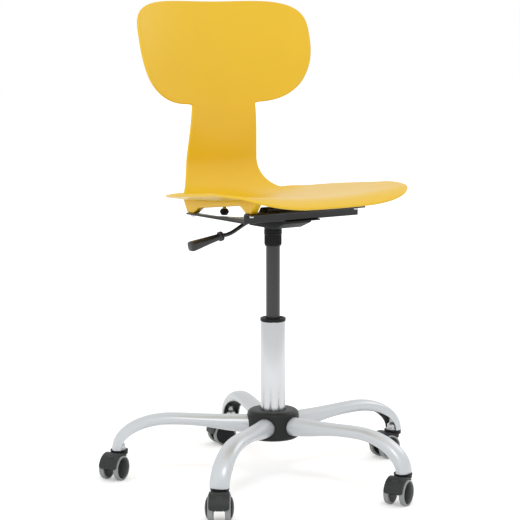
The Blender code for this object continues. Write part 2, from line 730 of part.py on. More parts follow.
def shell_station(distance):
    """Place (y, z) and heading of the middle line, by distance from the seat's front edge."""
    y, z, heading = -SHELL_FRONT, SHELL_FRONT_Z, LIP_ANGLE
    for length, start, end in SHELL_ARCS:
        run = min(distance, length)
        bend = (end - start) / length
        heading = start + bend * run
        y += (math.sin(heading) - math.sin(start)) / bend
        z -= (math.cos(heading) - math.cos(start)) / bend
        distance -= run
        if distance <= 0.0:
            break
    return y, z, heading


def rounded(share, power):
    """Quarter of a superellipse: from 0 at share 0, where it is steep, to 1 at share 1."""
    return max(0.0, 1.0 - (1.0 - share) ** power) ** (1.0 / power)


def between(low, high, share):
    return low + (high - low) * share


def eased(share):
    """A share that starts and ends level."""
    return share * share * (3.0 - 2.0 * share)


def shell_half_width(distance):
    if distance < SEAT_FRONT_ROUND:
        return SEAT_HALF_WIDTH * rounded(distance / SEAT_FRONT_ROUND, SEAT_FRONT_POWER)
    if distance < SEAT_REAR_START:
        return SEAT_HALF_WIDTH
    if distance < SEAT_REAR_END:
        share = (SEAT_REAR_END - distance) / SEAT_REAR_ROUND
        return between(NECK_ROOT_HALF, SEAT_HALF_WIDTH, rounded(share, SEAT_REAR_POWER))
    if distance < BEND_END:
        share = (distance - SEAT_REAR_END) / (BEND_END - SEAT_REAR_END)
        return between(NECK_ROOT_HALF, NECK_LOW_HALF, 1.0 - (1.0 - share) ** 2)
    if distance < NECK_END:
        return between(NECK_LOW_HALF, NECK_HIGH_HALF, (distance - BEND_END) / NECK_LENGTH)
    if distance < BACK_WIDEST:
        share = (distance - NECK_END) / BACK_LOW_ROUND
        return between(NECK_HIGH_HALF, BACK_HALF_WIDTH, rounded(share, BACK_LOW_POWER))
    share = (SHELL_END - distance) / (SHELL_END - BACK_WIDEST)
    return between(BACK_TOP_HALF, BACK_HALF_WIDTH, rounded(share, BACK_TOP_POWER))


def shell_dish(distance):
    """Curvature across the sheet: its edges rise from the seat and come forward at the back."""
    if distance < BEND_START:
        return between(SEAT_FRONT_DISH, SEAT_DISH, eased(min(1.0, distance / SEAT_FRONT_ROUND)))
    if distance < BEND_END:
        share = (distance - BEND_START) / (BEND_END - BEND_START)
        return between(SEAT_DISH, BEND_DISH, eased(share))
    if distance < NECK_END:
        return between(BEND_DISH, NECK_DISH, eased((distance - BEND_END) / NECK_LENGTH))
    if distance < NECK_END + BACK_DISH_BLEND:
        return between(NECK_DISH, BACK_LOW_DISH, eased((distance - NECK_END) / BACK_DISH_BLEND))
    share = (distance - NECK_END - BACK_DISH_BLEND) / (SHELL_END - NECK_END - BACK_DISH_BLEND)
    return between(BACK_LOW_DISH, BACK_TOP_DISH, eased(share))


def shell_point(sideways, distance, below=0.0):
    """A point on the sheet's upper face, or some way below it."""
    y, z, heading = shell_station(distance)
    rise = shell_dish(distance) * sideways**2 / 2 - below
    return (sideways, y - rise * math.sin(heading), z + rise * math.cos(heading))


def spread(start, end, count, dense_start=False, dense_end=False):
    """Distances from start to end, closer together at an end where the outline turns sharply."""
    shares = [i / count for i in range(1, count + 1)]
    if dense_start:
        shares = [1.0 - math.cos(share * math.pi / 2) for share in shares]
    if dense_end:
        shares = [math.sin(share * math.pi / 2) for share in shares]
    return [between(start, end, share) for share in shares]


shell_rows = [SEAT_FIRST_ROW]
shell_rows += spread(shell_rows[0], SEAT_FRONT_ROUND, 6, dense_start=True)
shell_rows += spread(SEAT_FRONT_ROUND, SEAT_REAR_START, 4)
shell_rows += spread(SEAT_REAR_START, SEAT_REAR_END, 6, dense_end=True)
shell_rows += spread(SEAT_REAR_END, BEND_END, 5)
shell_rows += spread(BEND_END, NECK_END, 3)
shell_rows += spread(NECK_END, BACK_WIDEST, 8, dense_start=True)
shell_rows += spread(BACK_WIDEST, SHELL_END, 8, dense_end=True)


def shell_vertex(across, along):
    distance = shell_rows[round(along * (len(shell_rows) - 1))]
    return shell_point((2 * across - 1) * shell_half_width(distance), distance)


def rail_outline():
    """Side view of a rail and its two feet. Its top line runs inside the shell's sheet."""
    front_end = -SCREW_FRONT - FOOT_FRONT_HALF - FOOT_FRONT_FLARE
    rear_end = SCREW_REAR + FOOT_HALF + FOOT_OUTER_FLARE
    top_line = []
    for distance in spread(LIP_LENGTH, SEAT_REAR_END, 16):
        _, y, z = shell_point(RAIL_X, distance, SHELL_SHEET / 2)
        if front_end < y < rear_end:
            top_line.append((y, z))
    rear_foot = PLATE_TOP + GAP
    front_foot = FLANGE_TOP + GAP
    return top_line + [
        (SCREW_REAR + FOOT_HALF, rear_foot),
        (SCREW_REAR - FOOT_HALF, rear_foot),
        (SCREW_REAR - FOOT_HALF - FOOT_INNER_FLARE, PLATE_TOP + RAIL_REAR_RISE),
        (-SCREW_FRONT + FOOT_FRONT_HALF + FOOT_INNER_FLARE, PLATE_TOP + RAIL_FRONT_RISE),
        (-SCREW_FRONT + FOOT_FRONT_HALF, front_foot),
        (-SCREW_FRONT - FOOT_FRONT_HALF, front_foot),
    ]


rails = []
for x in (-RAIL_X, RAIL_X):
    rails.append(side_prism(rail_outline(), x - RAIL_WIDTH / 2, x + RAIL_WIDTH / 2))
seat_rows = [shell_point(BUFFER_X, distance, SHELL_SHEET / 2) for distance in shell_rows]
boss_top = min(seat_rows, key=lambda point: abs(point[1] - BUFFER_Y))[2]
bosses = []
for x in (-BUFFER_X, BUFFER_X):
    boss = rod(BUFFER_BOSS_RADIUS, boss_bottom, boss_top, 16)
    bosses.append(moved(boss, Matrix.Translation((x, BUFFER_Y, 0.0))))
screw_holes = []
for x, y, seat, top in screw_places:
    hole = rod(SCREW_RADIUS + GAP, top - PLATE_SHEET, top + GAP + SCREW_IN_FOOT + GAP, 12)
    screw_holes.append(moved(hole, Matrix.Translation((x, y, 0.0))))
shell_sheet = sheet(14, len(shell_rows) - 1, shell_vertex, SHELL_SHEET)
part("seat_shell", shaped(shell_sheet, joins=rails + bosses, cuts=screw_holes), yellow_plastic, lift)

# Seat screws, from under the plate into the feet

for number, (x, y, seat, top) in enumerate(screw_places, start=1):
    screw_profile = [
        (0.0, top + SCREW_IN_FOOT),
        (SCREW_RADIUS, top + SCREW_IN_FOOT),
        (SCREW_RADIUS, seat - GAP),
        (SCREW_HEAD_RADIUS, seat - GAP),
        (SCREW_HEAD_RADIUS, seat - GAP - SCREW_HEAD),
        (0.0, seat - GAP - SCREW_HEAD),
    ]
    part(f"seat_screw_{number}", turned(screw_profile, 12), plain_steel, lift, (x, y, 0.0))

# Release lever: a bent rod whose inner end lies over the valve pin, and a plastic handle

drop_points = []
drop_count = 6
for step in range(drop_count + 1):
    share = step / drop_count
    ease = (1.0 - math.cos(share * math.pi)) / 2
    drop_points.append((-LEVER_STRAIGHT - LEVER_DROP_RUN * share, -LEVER_DROP * ease))
handle_x, handle_z = drop_points[-1]


def handle_place(distance):
    """A point in the lever's frame, along the straight handle."""
    x = handle_x - distance * math.cos(LEVER_SLOPE) + LEVER_PIVOT
    return (x, 0.0, handle_z - distance * math.sin(LEVER_SLOPE))


rod_line = [(LEVER_PIVOT - LEVER_RADIUS / 4, 0.0, 0.0)]
rod_line += [(x + LEVER_PIVOT, 0.0, z) for x, z in drop_points]
rod_line += [handle_place(HANDLE_GRIP_ON_ROD)]
part("lever_rod", tube(rod_line, [LEVER_RADIUS] * len(rod_line)), black_steel, lever)

handle_sizes = [
    (HANDLE_COLLAR_START, HANDLE_COLLAR_RADIUS),
    (HANDLE_COLLAR_END, HANDLE_COLLAR_RADIUS),
    (HANDLE_COLLAR_END + HANDLE_COLLAR_STEP, HANDLE_NECK_RADIUS),
    (HANDLE_LENGTH / 2, HANDLE_MIDDLE_RADIUS),
    (HANDLE_LENGTH - HANDLE_END_ROUND, HANDLE_END_RADIUS),
    (HANDLE_LENGTH, HANDLE_END_RADIUS - HANDLE_END_ROUND / 3),
]
handle_line = [handle_place(distance) for distance, _ in handle_sizes]
handle_bore = [handle_place(-LEVER_RADIUS / 2), handle_place(HANDLE_GRIP_ON_ROD + 2 * GAP)]
handle_mesh = tube(handle_line, [radius for _, radius in handle_sizes])
handle_mesh = shaped(handle_mesh, cuts=[tube(handle_bore, [LEVER_RADIUS + GAP] * 2)])
part("lever_handle", handle_mesh, black_plastic, lever)

# Casters: a hooded body on a stem, an axle, and a wheel with its tyre on each side. Trail runs along +X

axle_place = (CASTER_TRAIL, 0.0, WHEEL_RADIUS)
# A facet of each tyre lies flat on the floor.
facet_ratio = 1.0 / math.cos(math.pi / WHEEL_FACETS)
cavity_radius = (WHEEL_RADIUS * facet_ratio + HOOD_CLEARANCE) * facet_ratio
hood_radius = cavity_radius + HOOD_WALL
hood_centre = (CASTER_TRAIL, WHEEL_RADIUS)
collar_bottom = CASTER_HEIGHT - CASTER_COLLAR_HEIGHT
hood_outline = arc(hood_centre, hood_radius, HOOD_LOW_ANGLE, HOOD_HIGH_ANGLE, 10)
hood_outline += [
    (HOOD_NECK, collar_bottom + HOOD_OVERLAP),
    (-HOOD_REAR, collar_bottom + HOOD_OVERLAP),
    (-HOOD_REAR, collar_bottom - HOOD_REAR_DEPTH),
    (CASTER_TRAIL - AXLE_BOSS, WHEEL_RADIUS - AXLE_BOSS / 2),
    (CASTER_TRAIL, WHEEL_RADIUS - AXLE_BOSS),
]
# The outline's (y, z) is turned a quarter turn, so that it lies along the trail.
quarter = Matrix.Rotation(-math.pi / 2, 4, "Z")
hood_block = moved(side_prism(hood_outline, -HOOD_WIDTH / 2, HOOD_WIDTH / 2), quarter)
collar_block = rod(CASTER_COLLAR_RADIUS, collar_bottom, CASTER_HEIGHT, 24)
stem_bottom = CASTER_HEIGHT - STEM_SEAT
stem_hole = rod(STEM_RADIUS + GAP, stem_bottom - GAP, CASTER_HEIGHT + GAP, 16)
lie_on_axle = Matrix.Translation(axle_place) @ Matrix.Rotation(-math.pi / 2, 4, "X")
half_step = Matrix.Rotation(math.pi / WHEEL_FACETS + math.pi / 2, 4, "Z")
wheel_room = rod(cavity_radius, CASTER_WEB / 2, HOOD_WIDTH, WHEEL_FACETS)
other_room = rod(cavity_radius, -HOOD_WIDTH, -CASTER_WEB / 2, WHEEL_FACETS)
axle_hole = rod(AXLE_RADIUS + GAP, -HOOD_WIDTH, HOOD_WIDTH, 16)
caster_cuts = [moved(mesh, lie_on_axle @ half_step) for mesh in (wheel_room, other_room)]
caster_cuts += [moved(axle_hole, lie_on_axle), stem_hole]
body_mesh = shaped(hood_block, joins=[collar_block], cuts=caster_cuts)
stem_mesh = rod(STEM_RADIUS, stem_bottom, ARM_END_Z + STEM_REACH, 16)
upright = Matrix.Rotation(-math.pi / 2, 4, "X")
axle_mesh = moved(rod(AXLE_RADIUS, -AXLE_REACH, AXLE_REACH, 16), upright)

tyre_outer = WHEEL_RADIUS * facet_ratio
tyre_bore = tyre_outer - TYRE_WALL
tyre_end = TYRE_INNER_Y + TYRE_WIDTH
tyre_profile = [
    (tyre_outer - TYRE_SHOULDER, tyre_end),
    (tyre_outer, tyre_end - TYRE_SHOULDER),
    (tyre_outer, TYRE_INNER_Y),
    (tyre_bore, TYRE_INNER_Y),
    (tyre_bore, tyre_end),
]
wheel_start = CASTER_WEB / 2 + WEB_CLEARANCE
wheel_outer = tyre_bore - GAP
axle_bore = AXLE_RADIUS + GAP
dome_angles = [math.pi / 2 * (1.0 - i / DOME_STEPS) for i in range(DOME_STEPS + 1)]
wheel_dome = [(wheel_outer * math.cos(a), tyre_end + WHEEL_CROWN * math.sin(a)) for a in dome_angles]
wheel_profile = wheel_dome + [
    (wheel_outer, TYRE_INNER_Y),
    (HUB_BOSS_RADIUS, TYRE_INNER_Y),
    (HUB_BOSS_RADIUS, wheel_start),
    (axle_bore, wheel_start),
    (axle_bore, AXLE_REACH + 2 * GAP),
    (0.0, AXLE_REACH + 2 * GAP),
]
tyre_mesh = moved(turned(tyre_profile, WHEEL_FACETS, closed=True), upright @ half_step)
wheel_mesh = moved(turned(wheel_profile, WHEEL_FACETS), upright @ half_step)

for number, (angle, heading) in enumerate(zip(arm_angles, CASTER_HEADINGS), start=1):
    name = f"caster_{number}"
    place = (CASTER_CIRCLE * math.cos(angle), CASTER_CIRCLE * math.sin(angle), 0.0)
    caster = pivot(f"{name}_frame", root, place, heading)
    part(f"{name}_body", body_mesh, black_plastic, caster)
    part(f"{name}_stem", stem_mesh, plain_steel, caster)
    part(f"{name}_axle", axle_mesh, plain_steel, caster, axle_place)
    for side, turn in (("left", 0.0), ("right", math.pi)):
        part(f"{name}_wheel_{side}", wheel_mesh, black_plastic, caster, axle_place, turn)
        part(f"{name}_tyre_{side}", tyre_mesh, grey_tread, caster, axle_place, turn)
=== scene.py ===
"""Looks of the swivel chair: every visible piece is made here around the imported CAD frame, in its own metres.

The chair stands on the floor at z = 0. The sitter faces -Y and the sitter's right is -X. Pieces are shaped
round the column's axis and end up in the shared frame with their place in their mesh.
"""

import math

import bmesh
import bpy
from mathutils import Matrix, Vector


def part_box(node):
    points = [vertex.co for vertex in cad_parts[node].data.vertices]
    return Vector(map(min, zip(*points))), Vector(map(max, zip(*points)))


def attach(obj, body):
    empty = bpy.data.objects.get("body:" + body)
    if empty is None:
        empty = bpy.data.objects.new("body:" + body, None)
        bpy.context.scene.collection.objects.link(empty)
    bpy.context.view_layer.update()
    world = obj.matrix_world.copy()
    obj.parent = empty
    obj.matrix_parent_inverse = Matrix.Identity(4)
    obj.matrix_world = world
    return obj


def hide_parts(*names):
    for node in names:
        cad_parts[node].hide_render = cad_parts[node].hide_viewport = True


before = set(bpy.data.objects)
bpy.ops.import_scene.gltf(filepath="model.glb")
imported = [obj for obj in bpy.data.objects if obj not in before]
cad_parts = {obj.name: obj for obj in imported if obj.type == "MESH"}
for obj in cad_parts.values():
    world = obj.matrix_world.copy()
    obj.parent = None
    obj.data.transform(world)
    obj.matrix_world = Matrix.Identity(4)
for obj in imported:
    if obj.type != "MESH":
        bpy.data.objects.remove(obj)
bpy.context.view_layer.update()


# Steel inside the chair: the hub's core, thrust bearing, piston rod with its clip, valve pin, and the
# casters' stems and axles. They are turned and zinc plated, and only their ends show, so the CAD solids stay.

arm_count = 5
arm_numbers = range(1, arm_count + 1)


def node_tree(name, kind, takes, gives):
    """A new node tree with its inputs and outputs, each named with the kind of its socket."""
    tree = bpy.data.node_groups.new(name, kind)
    for way, sockets in (("INPUT", takes), ("OUTPUT", gives)):
        for socket_name, socket_kind in sockets.items():
            tree.interface.new_socket(socket_name, in_out=way, socket_type=f"NodeSocket{socket_kind}")
    return tree


def fed(tree, node, inputs):
    """A node's outputs, once its inputs are linked to sockets or set to values. A list is linked in turn."""
    for name, value in inputs.items():
        for source in value if isinstance(value, list) else [value]:
            if isinstance(source, bpy.types.NodeSocket):
                tree.links.new(source, node.inputs[name])
            else:
                node.inputs[name].default_value = source
    return node.outputs


def wired(tree, kind, inputs=None, **settings):
    """The outputs of a new node with its settings made and its inputs fed."""
    node = tree.nodes.new(kind)
    for name, value in settings.items():
        setattr(node, name, value)
    return fed(tree, node, inputs or {})


def calculated(tree, operation, *values):
    """The result of one step of arithmetic on sockets or numbers."""
    return wired(tree, "ShaderNodeMath", dict(enumerate(values)), operation=operation)["Value"]


def drawn_lines_group():
    """Fine lines along Z, as drawing and turning leave them on bars and tubes."""
    takes = {"Roughness": "Float", "Roughness Spread": "Float", "Line Scale": "Float"}
    tree = node_tree("drawn_lines", "ShaderNodeTree", takes, {"Roughness": "Float", "Height": "Float"})
    given = wired(tree, "NodeGroupInput")
    place = wired(tree, "ShaderNodeTexCoord")["Object"]
    stretched = wired(tree, "ShaderNodeMapping", {"Vector": place, "Scale": (1.0, 1.0, 0.02)})["Vector"]
    noise = {"Vector": stretched, "Scale": given["Line Scale"], "Detail": 3.0}
    lines = wired(tree, "ShaderNodeTexNoise", noise)["Fac"]
    centred = calculated(tree, "SUBTRACT", lines, 0.5)
    rough = calculated(tree, "MULTIPLY_ADD", centred, given["Roughness Spread"], given["Roughness"])
    wired(tree, "NodeGroupOutput", {"Roughness": rough, "Height": lines})
    return tree


drawn_lines = drawn_lines_group()


def new_finish(name):
    """A new material and its nodes."""
    made = bpy.data.materials.new(name)
    made.use_nodes = True
    return made, made.node_tree


def embossed(tree, height, strength, depth):
    """The normal of a surface with a fine relief."""
    relief = {"Height": height, "Strength": strength, "Distance": depth}
    return wired(tree, "ShaderNodeBump", relief)["Normal"]


def drawn_metal(name, colour, metallic, roughness, roughness_spread, line_scale, bump):
    """A bar or tube finish: a colour with fine lines along the piece, a little darker in the lines."""
    made, tree = new_finish(name)
    values = {"Roughness": roughness, "Roughness Spread": roughness_spread, "Line Scale": line_scale}
    lines = wired(tree, "ShaderNodeGroup", values, node_tree=drawn_lines)
    darker = [channel * 0.93 for channel in colour]
    shades = {"Factor": lines["Height"], "A": (*darker, 1.0), "B": (*colour, 1.0)}
    surface = {
        "Base Color": wired(tree, "ShaderNodeMix", shades, data_type="RGBA")["Result"],
        "Metallic": metallic,
        "Roughness": lines["Roughness"],
        "Normal": embossed(tree, lines["Height"], bump, 0.0002),
    }
    fed(tree, tree.nodes["Principled BSDF"], surface)
    return made


zinc_steel = drawn_metal(
    "zinc_steel",
    (0.56, 0.57, 0.58),
    metallic=1.0,
    roughness=0.34,
    roughness_spread=0.14,
    line_scale=900.0,
    bump=0.25,
)
steel_nodes = ["hub_core", "thrust_bearing", "piston_rod", "valve_pin"]
for number in arm_numbers:
    steel_nodes += [f"caster_{number}_stem", f"caster_{number}_axle"]
for node in steel_nodes:
    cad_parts[node].data.materials.clear()
    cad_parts[node].data.materials.append(zinc_steel)


# Base arms: five steel tubes, round at the hub and pressed to an open channel that bends down to its caster.
# They are silver coated, and the faces inside the channel are coloured dark grey as painted shade. A zinc
# plated bush with a short neck is welded in the channel for the caster's stem.

tube_low, tube_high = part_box("column_tube")
column = Vector(((tube_low.x + tube_high.x) / 2, (tube_low.y + tube_high.y) / 2, 0.0))


def fine_grain_group():
    """A fine grain with slow changes of colour and gloss, as on moulded plastic and on powder coat."""
    takes = {"Colour": "Color"}
    takes.update(dict.fromkeys(("Colour Spread", "Roughness", "Roughness Spread", "Grain Scale"), "Float"))
    gives = {"Colour": "Color", "Roughness": "Float", "Height": "Float"}
    tree = node_tree("fine_grain", "ShaderNodeTree", takes, gives)
    given = wired(tree, "NodeGroupInput")
    place = wired(tree, "ShaderNodeTexCoord")["Object"]
    slow = wired(tree, "ShaderNodeTexNoise", {"Vector": place, "Scale": 11.0, "Detail": 4.0})["Fac"]
    fine = {"Vector": place, "Scale": given["Grain Scale"], "Detail": 2.0}
    grain = wired(tree, "ShaderNodeTexNoise", fine)["Fac"]
    centred = calculated(tree, "SUBTRACT", calculated(tree, "ADD", slow, grain), 1.0)
    value = calculated(tree, "MULTIPLY_ADD", centred, given["Colour Spread"], 1.0)
    tint = wired(tree, "ShaderNodeHueSaturation", {"Color": given["Colour"], "Value": value})["Color"]
    rough = calculated(tree, "MULTIPLY_ADD", centred, given["Roughness Spread"], given["Roughness"])
    wired(tree, "NodeGroupOutput", {"Colour": tint, "Roughness": rough, "Height": grain})
    return tree


fine_grain = fine_grain_group()


def grained(name, colour, roughness, grain_scale, bump, metallic=0.0, spreads=(0.10, 0.12), specular=0.5):
    """A plastic, paint or rubber finish with the fine grain. The spreads are of colour and roughness."""
    made, tree = new_finish(name)
    values = {
        "Colour": (*colour, 1.0),
        "Colour Spread": spreads[0],
        "Roughness": roughness,
        "Roughness Spread": spreads[1],
        "Grain Scale": grain_scale,
    }
    grain = wired(tree, "ShaderNodeGroup", values, node_tree=fine_grain)
    surface = {
        "Base Color": grain["Colour"],
        "Metallic": metallic,
        "Specular IOR Level": specular,
        "Roughness": grain["Roughness"],
        "Normal": embossed(tree, grain["Height"], bump, 0.0004),
    }
    fed(tree, tree.nodes["Principled BSDF"], surface)
    return made


def loft(rings, closed=False):
    """Points and faces that join rings of equal length in turn, capped unless the last meets the first."""
    count = len(rings[0])
    points = [point for ring in rings for point in ring]
    faces = []
    for row in range(len(rings) if closed else len(rings) - 1):
        low, high = row * count, (row + 1) % len(rings) * count
        for i in range(count):
            j = (i + 1) % count
            faces.append((low + i, low + j, high + j, high + i))
    if not closed:
        faces.append(tuple(range(count))[::-1])
        faces.append(tuple(range(len(points) - count, len(points))))
    return points, faces


def placed(shape, matrix):
    points, faces = shape
    return [matrix @ Vector(point) for point in points], faces


def shade(mesh, smooth):
    """Shades a mesh smooth, with edges sharper than an angle left sharp."""
    mesh.shade_smooth()
    mesh.set_sharp_from_angle(angle=math.radians(smooth))


def clean(mesh, smooth):
    """Merges doubled points of a mesh, turns its faces outwards and shades it."""
    draft = bmesh.new()
    draft.from_mesh(mesh)
    bmesh.ops.remove_doubles(draft, verts=draft.verts, dist=2e-6)
    bmesh.ops.dissolve_degenerate(draft, edges=draft.edges, dist=1e-6)
    bmesh.ops.recalc_face_normals(draft, faces=draft.faces)
    draft.to_mesh(mesh)
    draft.free()
    shade(mesh, smooth)


def mesh_piece(name, shape, finish, smooth=40.0):
    """An object of a shape in one finish."""
    mesh = bpy.data.meshes.new(name)
    mesh.from_pydata([tuple(point) for point in shape[0]], [], shape[1])
    clean(mesh, smooth)
    mesh.materials.append(finish)
    made = bpy.data.objects.new(name, mesh)
    bpy.context.scene.collection.objects.link(made)
    return made


def filleted(*corners, steps=4):
    """A closed outline of (across, up, radius) corners, with each corner rounded to its radius."""
    shortest, longest_share = 1e-7, 0.48
    outline = []
    for i, (x, y, radius) in enumerate(corners):
        corner = Vector((x, y))
        back = Vector(corners[i - 1][:2]) - corner
        ahead = Vector(corners[(i + 1) % len(corners)][:2]) - corner
        if radius <= 0.0 or back.length < shortest or ahead.length < shortest:
            outline.append((x, y))
            continue
        half = back.angle(ahead) / 2
        reach = min(radius / math.tan(half), longest_share * min(back.length, ahead.length))
        start = corner + back.normalized() * reach
        end = corner + ahead.normalized() * reach
        for k in range(steps + 1):
            t = k / steps
            point = start * (1 - t) ** 2 + corner * 2 * t * (1 - t) + end * t**2
            outline.append((point.x, point.y))
    return outline


def turned(profile, steps, closed=True):
    """A shape turned about Z from a closed loop of (radius, height) points."""
    rings = []
    for radius, height in profile:
        ring = []
        for i in range(steps):
            angle = 2 * math.pi * i / steps
            ring.append((radius * math.cos(angle), radius * math.sin(angle), height))
        rings.append(ring)
    return loft(rings, closed)


def between(low, high, share):
    return low + (high - low) * share


def eased(share):
    return share * share * (3.0 - 2.0 * share)


arm_circle = 0.310
arm_end_z = 0.0580
arm_crest_z = 0.1215
arm_hub_z = 0.1115
arm_bend = 0.107
arm_end_out = 0.005
arm_hub_end = 0.0336
arm_wall = 0.002
arm_hub_radius = 0.019
arm_mid_depth = 0.0235
arm_end_depth = 0.019
arm_end_half = 0.01825
arm_seam = math.radians(8.0)
flat_from = 0.4
open_from, open_over = 0.3, 0.5
arm_steps, arm_rows = 40, 72
lip_turns = (0.8, 1.57, 2.34)


def arm_station(along):
    """Radius, height and heading of the arm's middle line, from 0 at the hub to 1 at the caster.

    The first half runs out from the hub and the second half bends down.
    """
    bend_start = arm_circle + arm_end_out - arm_bend
    level = bend_start - arm_hub_end
    drop = arm_crest_z - arm_end_z
    if along < 0.5:
        share = along / 0.5
        rise = arm_crest_z - arm_hub_z
        slope = rise / level * math.pi / 2 * math.sin(share * math.pi)
        height = arm_hub_z + rise * (1.0 - math.cos(share * math.pi)) / 2
        return arm_hub_end + level * share, height, math.atan(slope)
    angle = (along - 0.5) * math.pi
    heading = -math.atan2(drop * math.sin(angle), arm_bend * math.cos(angle))
    return bend_start + arm_bend * math.sin(angle), arm_end_z + drop * math.cos(angle), heading


def arm_section(along):
    """A closed (sideways, normal) loop: the outside from edge to edge, then the inside back again."""
    flatten = eased(min(1.0, along / flat_from))
    opened = max(0.0, min(1.0, (along - open_from) / open_over))
    depth = between(2 * arm_hub_radius, arm_mid_depth, flatten)
    depth += (arm_end_depth - arm_mid_depth) * max(0.0, along - flat_from) / (1.0 - flat_from)
    half = between(arm_hub_radius, arm_end_half, flatten)
    outside = []
    for i in range(arm_steps + 1):
        angle = (1 - 2 * i / arm_steps) * (math.pi - arm_seam)
        sideways = half * math.sin(angle)
        if abs(angle) > math.pi / 2:
            sideways += (math.copysign(half, angle) - sideways) * opened
        outside.append(Vector((sideways, depth / 2 * math.cos(angle))))
    inside = []
    for i, point in enumerate(outside):
        tangent = (outside[min(i + 1, arm_steps)] - outside[max(i - 1, 0)]).normalized()
        inside.append(point + Vector((tangent.y, -tangent.x)) * -arm_wall)
    rounded_end = []
    for first, second in ((outside[-1], inside[-1]), (inside[0], outside[0])):
        middle, reach = (first + second) / 2, (first - second) / 2
        out = Vector((-reach.y, reach.x))
        rounded_end.append([middle + reach * math.cos(a) - out * math.sin(a) for a in lip_turns])
    return outside + rounded_end[0] + inside[::-1] + rounded_end[1]


arm_rings, arm_line = [], []
for step in range(arm_rows + 1):
    along = step / arm_rows
    radius, height, heading = arm_station(along)
    arm_line.append(Vector((radius, 0.0, height)))
    ring = []
    for sideways, normal in arm_section(along):
        ring.append((radius - normal * math.sin(heading), sideways, height + normal * math.cos(heading)))
    arm_rings.append(ring)

stem_bore, stem_bush_radius, stem_foot_radius = 0.0058, 0.0118, 0.0135
stem_bush_top, stem_foot_top = arm_end_z + 0.0235, arm_end_z + 0.003
stem_bush_profile = filleted(
    (0.0066, stem_bush_top, 0.0006),
    (0.0078, arm_end_z + 0.0160, 0.0030),
    (stem_bush_radius, arm_end_z + 0.0105, 0.0030),
    (stem_bush_radius, stem_foot_top, 0.0010),
    (stem_foot_radius, stem_foot_top, 0.0006),
    (stem_foot_radius, arm_end_z, 0.0),
    (stem_bore, arm_end_z, 0.0),
    (stem_bore, stem_bush_top, 0.0003),
)
stem_bush = placed(turned(stem_bush_profile, 40), Matrix.Translation((arm_circle, 0.0, 0.0)))

silver_paint = grained(
    "silver_paint",
    (0.574, 0.602, 0.626),
    roughness=0.34,
    grain_scale=2600.0,
    bump=0.10,
    metallic=0.30,
    spreads=(0.06, 0.10),
)
# Painted shade: the faces inside the channel are coloured dark grey instead of silver, for the channel's
# hollow.
channel_painted_shade = (0.150, 0.150, 0.147, 1.0)
paint = silver_paint.node_tree
channel_shade_mask = wired(paint, "ShaderNodeAttribute", attribute_name="inside")["Fac"]
shade_mix_inputs = {"Factor": channel_shade_mask, "A": paint.nodes["Group"].outputs["Colour"], "B": channel_painted_shade}
colour_with_painted_shade = wired(paint, "ShaderNodeMix", shade_mix_inputs, data_type="RGBA")["Result"]
fed(paint, paint.nodes["Principled BSDF"], {"Base Color": colour_with_painted_shade})
base_arms = mesh_piece("base_arms", loft(arm_rings), silver_paint, smooth=50.0)
# Faces that look in towards the arm's middle line get the painted shade.
inside = base_arms.data.attributes.new("inside", "FLOAT", "FACE")
for face in base_arms.data.polygons:
    nearest = min(arm_line, key=lambda spot: (spot - face.center).length)
    inside.data[face.index].value = float(face.normal.dot(face.center - nearest) < 0.0)
stem_bushes = mesh_piece("stem_bushes", stem_bush, zinc_steel)


def copies(tree, inputs):
    """Real geometry from an instance at every point."""
    spread = wired(tree, "GeometryNodeInstanceOnPoints", inputs)["Instances"]
    return wired(tree, "GeometryNodeRealizeInstances", {"Geometry": spread})["Geometry"]


def painted(tree, geometry, finish):
    return wired(tree, "GeometryNodeSetMaterial", {"Geometry": geometry, "Material": finish})["Geometry"]


def round_the_hub():
    """Nodes that repeat one arm, or one bush, round the column at even angles."""
    takes = {"Arm": "Geometry", "Arm Count": "Int", "Column": "Vector", "Finish": "Material"}
    tree = node_tree("round_the_hub", "GeometryNodeTree", takes, {"Arms": "Geometry"})
    given = wired(tree, "NodeGroupInput")
    middle = {"Count": given["Arm Count"], "Position": given["Column"]}
    spots = wired(tree, "GeometryNodePoints", middle)["Points"]
    share = calculated(tree, "DIVIDE", wired(tree, "GeometryNodeInputIndex")["Index"], given["Arm Count"])
    angle = calculated(tree, "MULTIPLY", share, 2 * math.pi)
    turn = wired(tree, "ShaderNodeCombineXYZ", {"Z": angle})["Vector"]
    arms = copies(tree, {"Points": spots, "Instance": given["Arm"], "Rotation": turn})
    wired(tree, "NodeGroupOutput", {"Arms": painted(tree, arms, given["Finish"])})
    return tree


def settle(piece):
    """Leaves a piece with the plain mesh that its modifiers give, without empty slots for materials."""
    bpy.context.view_layer.update()
    graph = bpy.context.evaluated_depsgraph_get()
    mesh = bpy.data.meshes.new_from_object(piece.evaluated_get(graph))
    for index in reversed(range(len(mesh.materials))):
        if mesh.materials[index] is None:
            mesh.materials.pop(index=index)
    piece.modifiers.clear()
    piece.data = mesh


def grow(piece, tree, values):
    """Makes a piece into what a node tree gives on it."""
    growth = piece.modifiers.new("Grow", "NODES")
    growth.node_group = tree
    for item in tree.interface.items_tree:
        if item.in_out == "INPUT" and item.name in values:
            growth[item.identifier] = values[item.name]
    settle(piece)


star = round_the_hub()
star_finishes = ((base_arms, silver_paint, "silver_paint"), (stem_bushes, zinc_steel, "plain_steel"))
for made, finish, slot_name in star_finishes:
    grow(made, star, {"Arm Count": arm_count, "Column": tuple(column), "Finish": finish})
    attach(made, "base")
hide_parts(*[f"base_arm_{number}" for number in arm_numbers])


# Hub cover: a black moulded cap that closes the hub, with a rounded shoulder and a hole where each arm
# enters. It is pushed on from above and stands just clear of the arms.

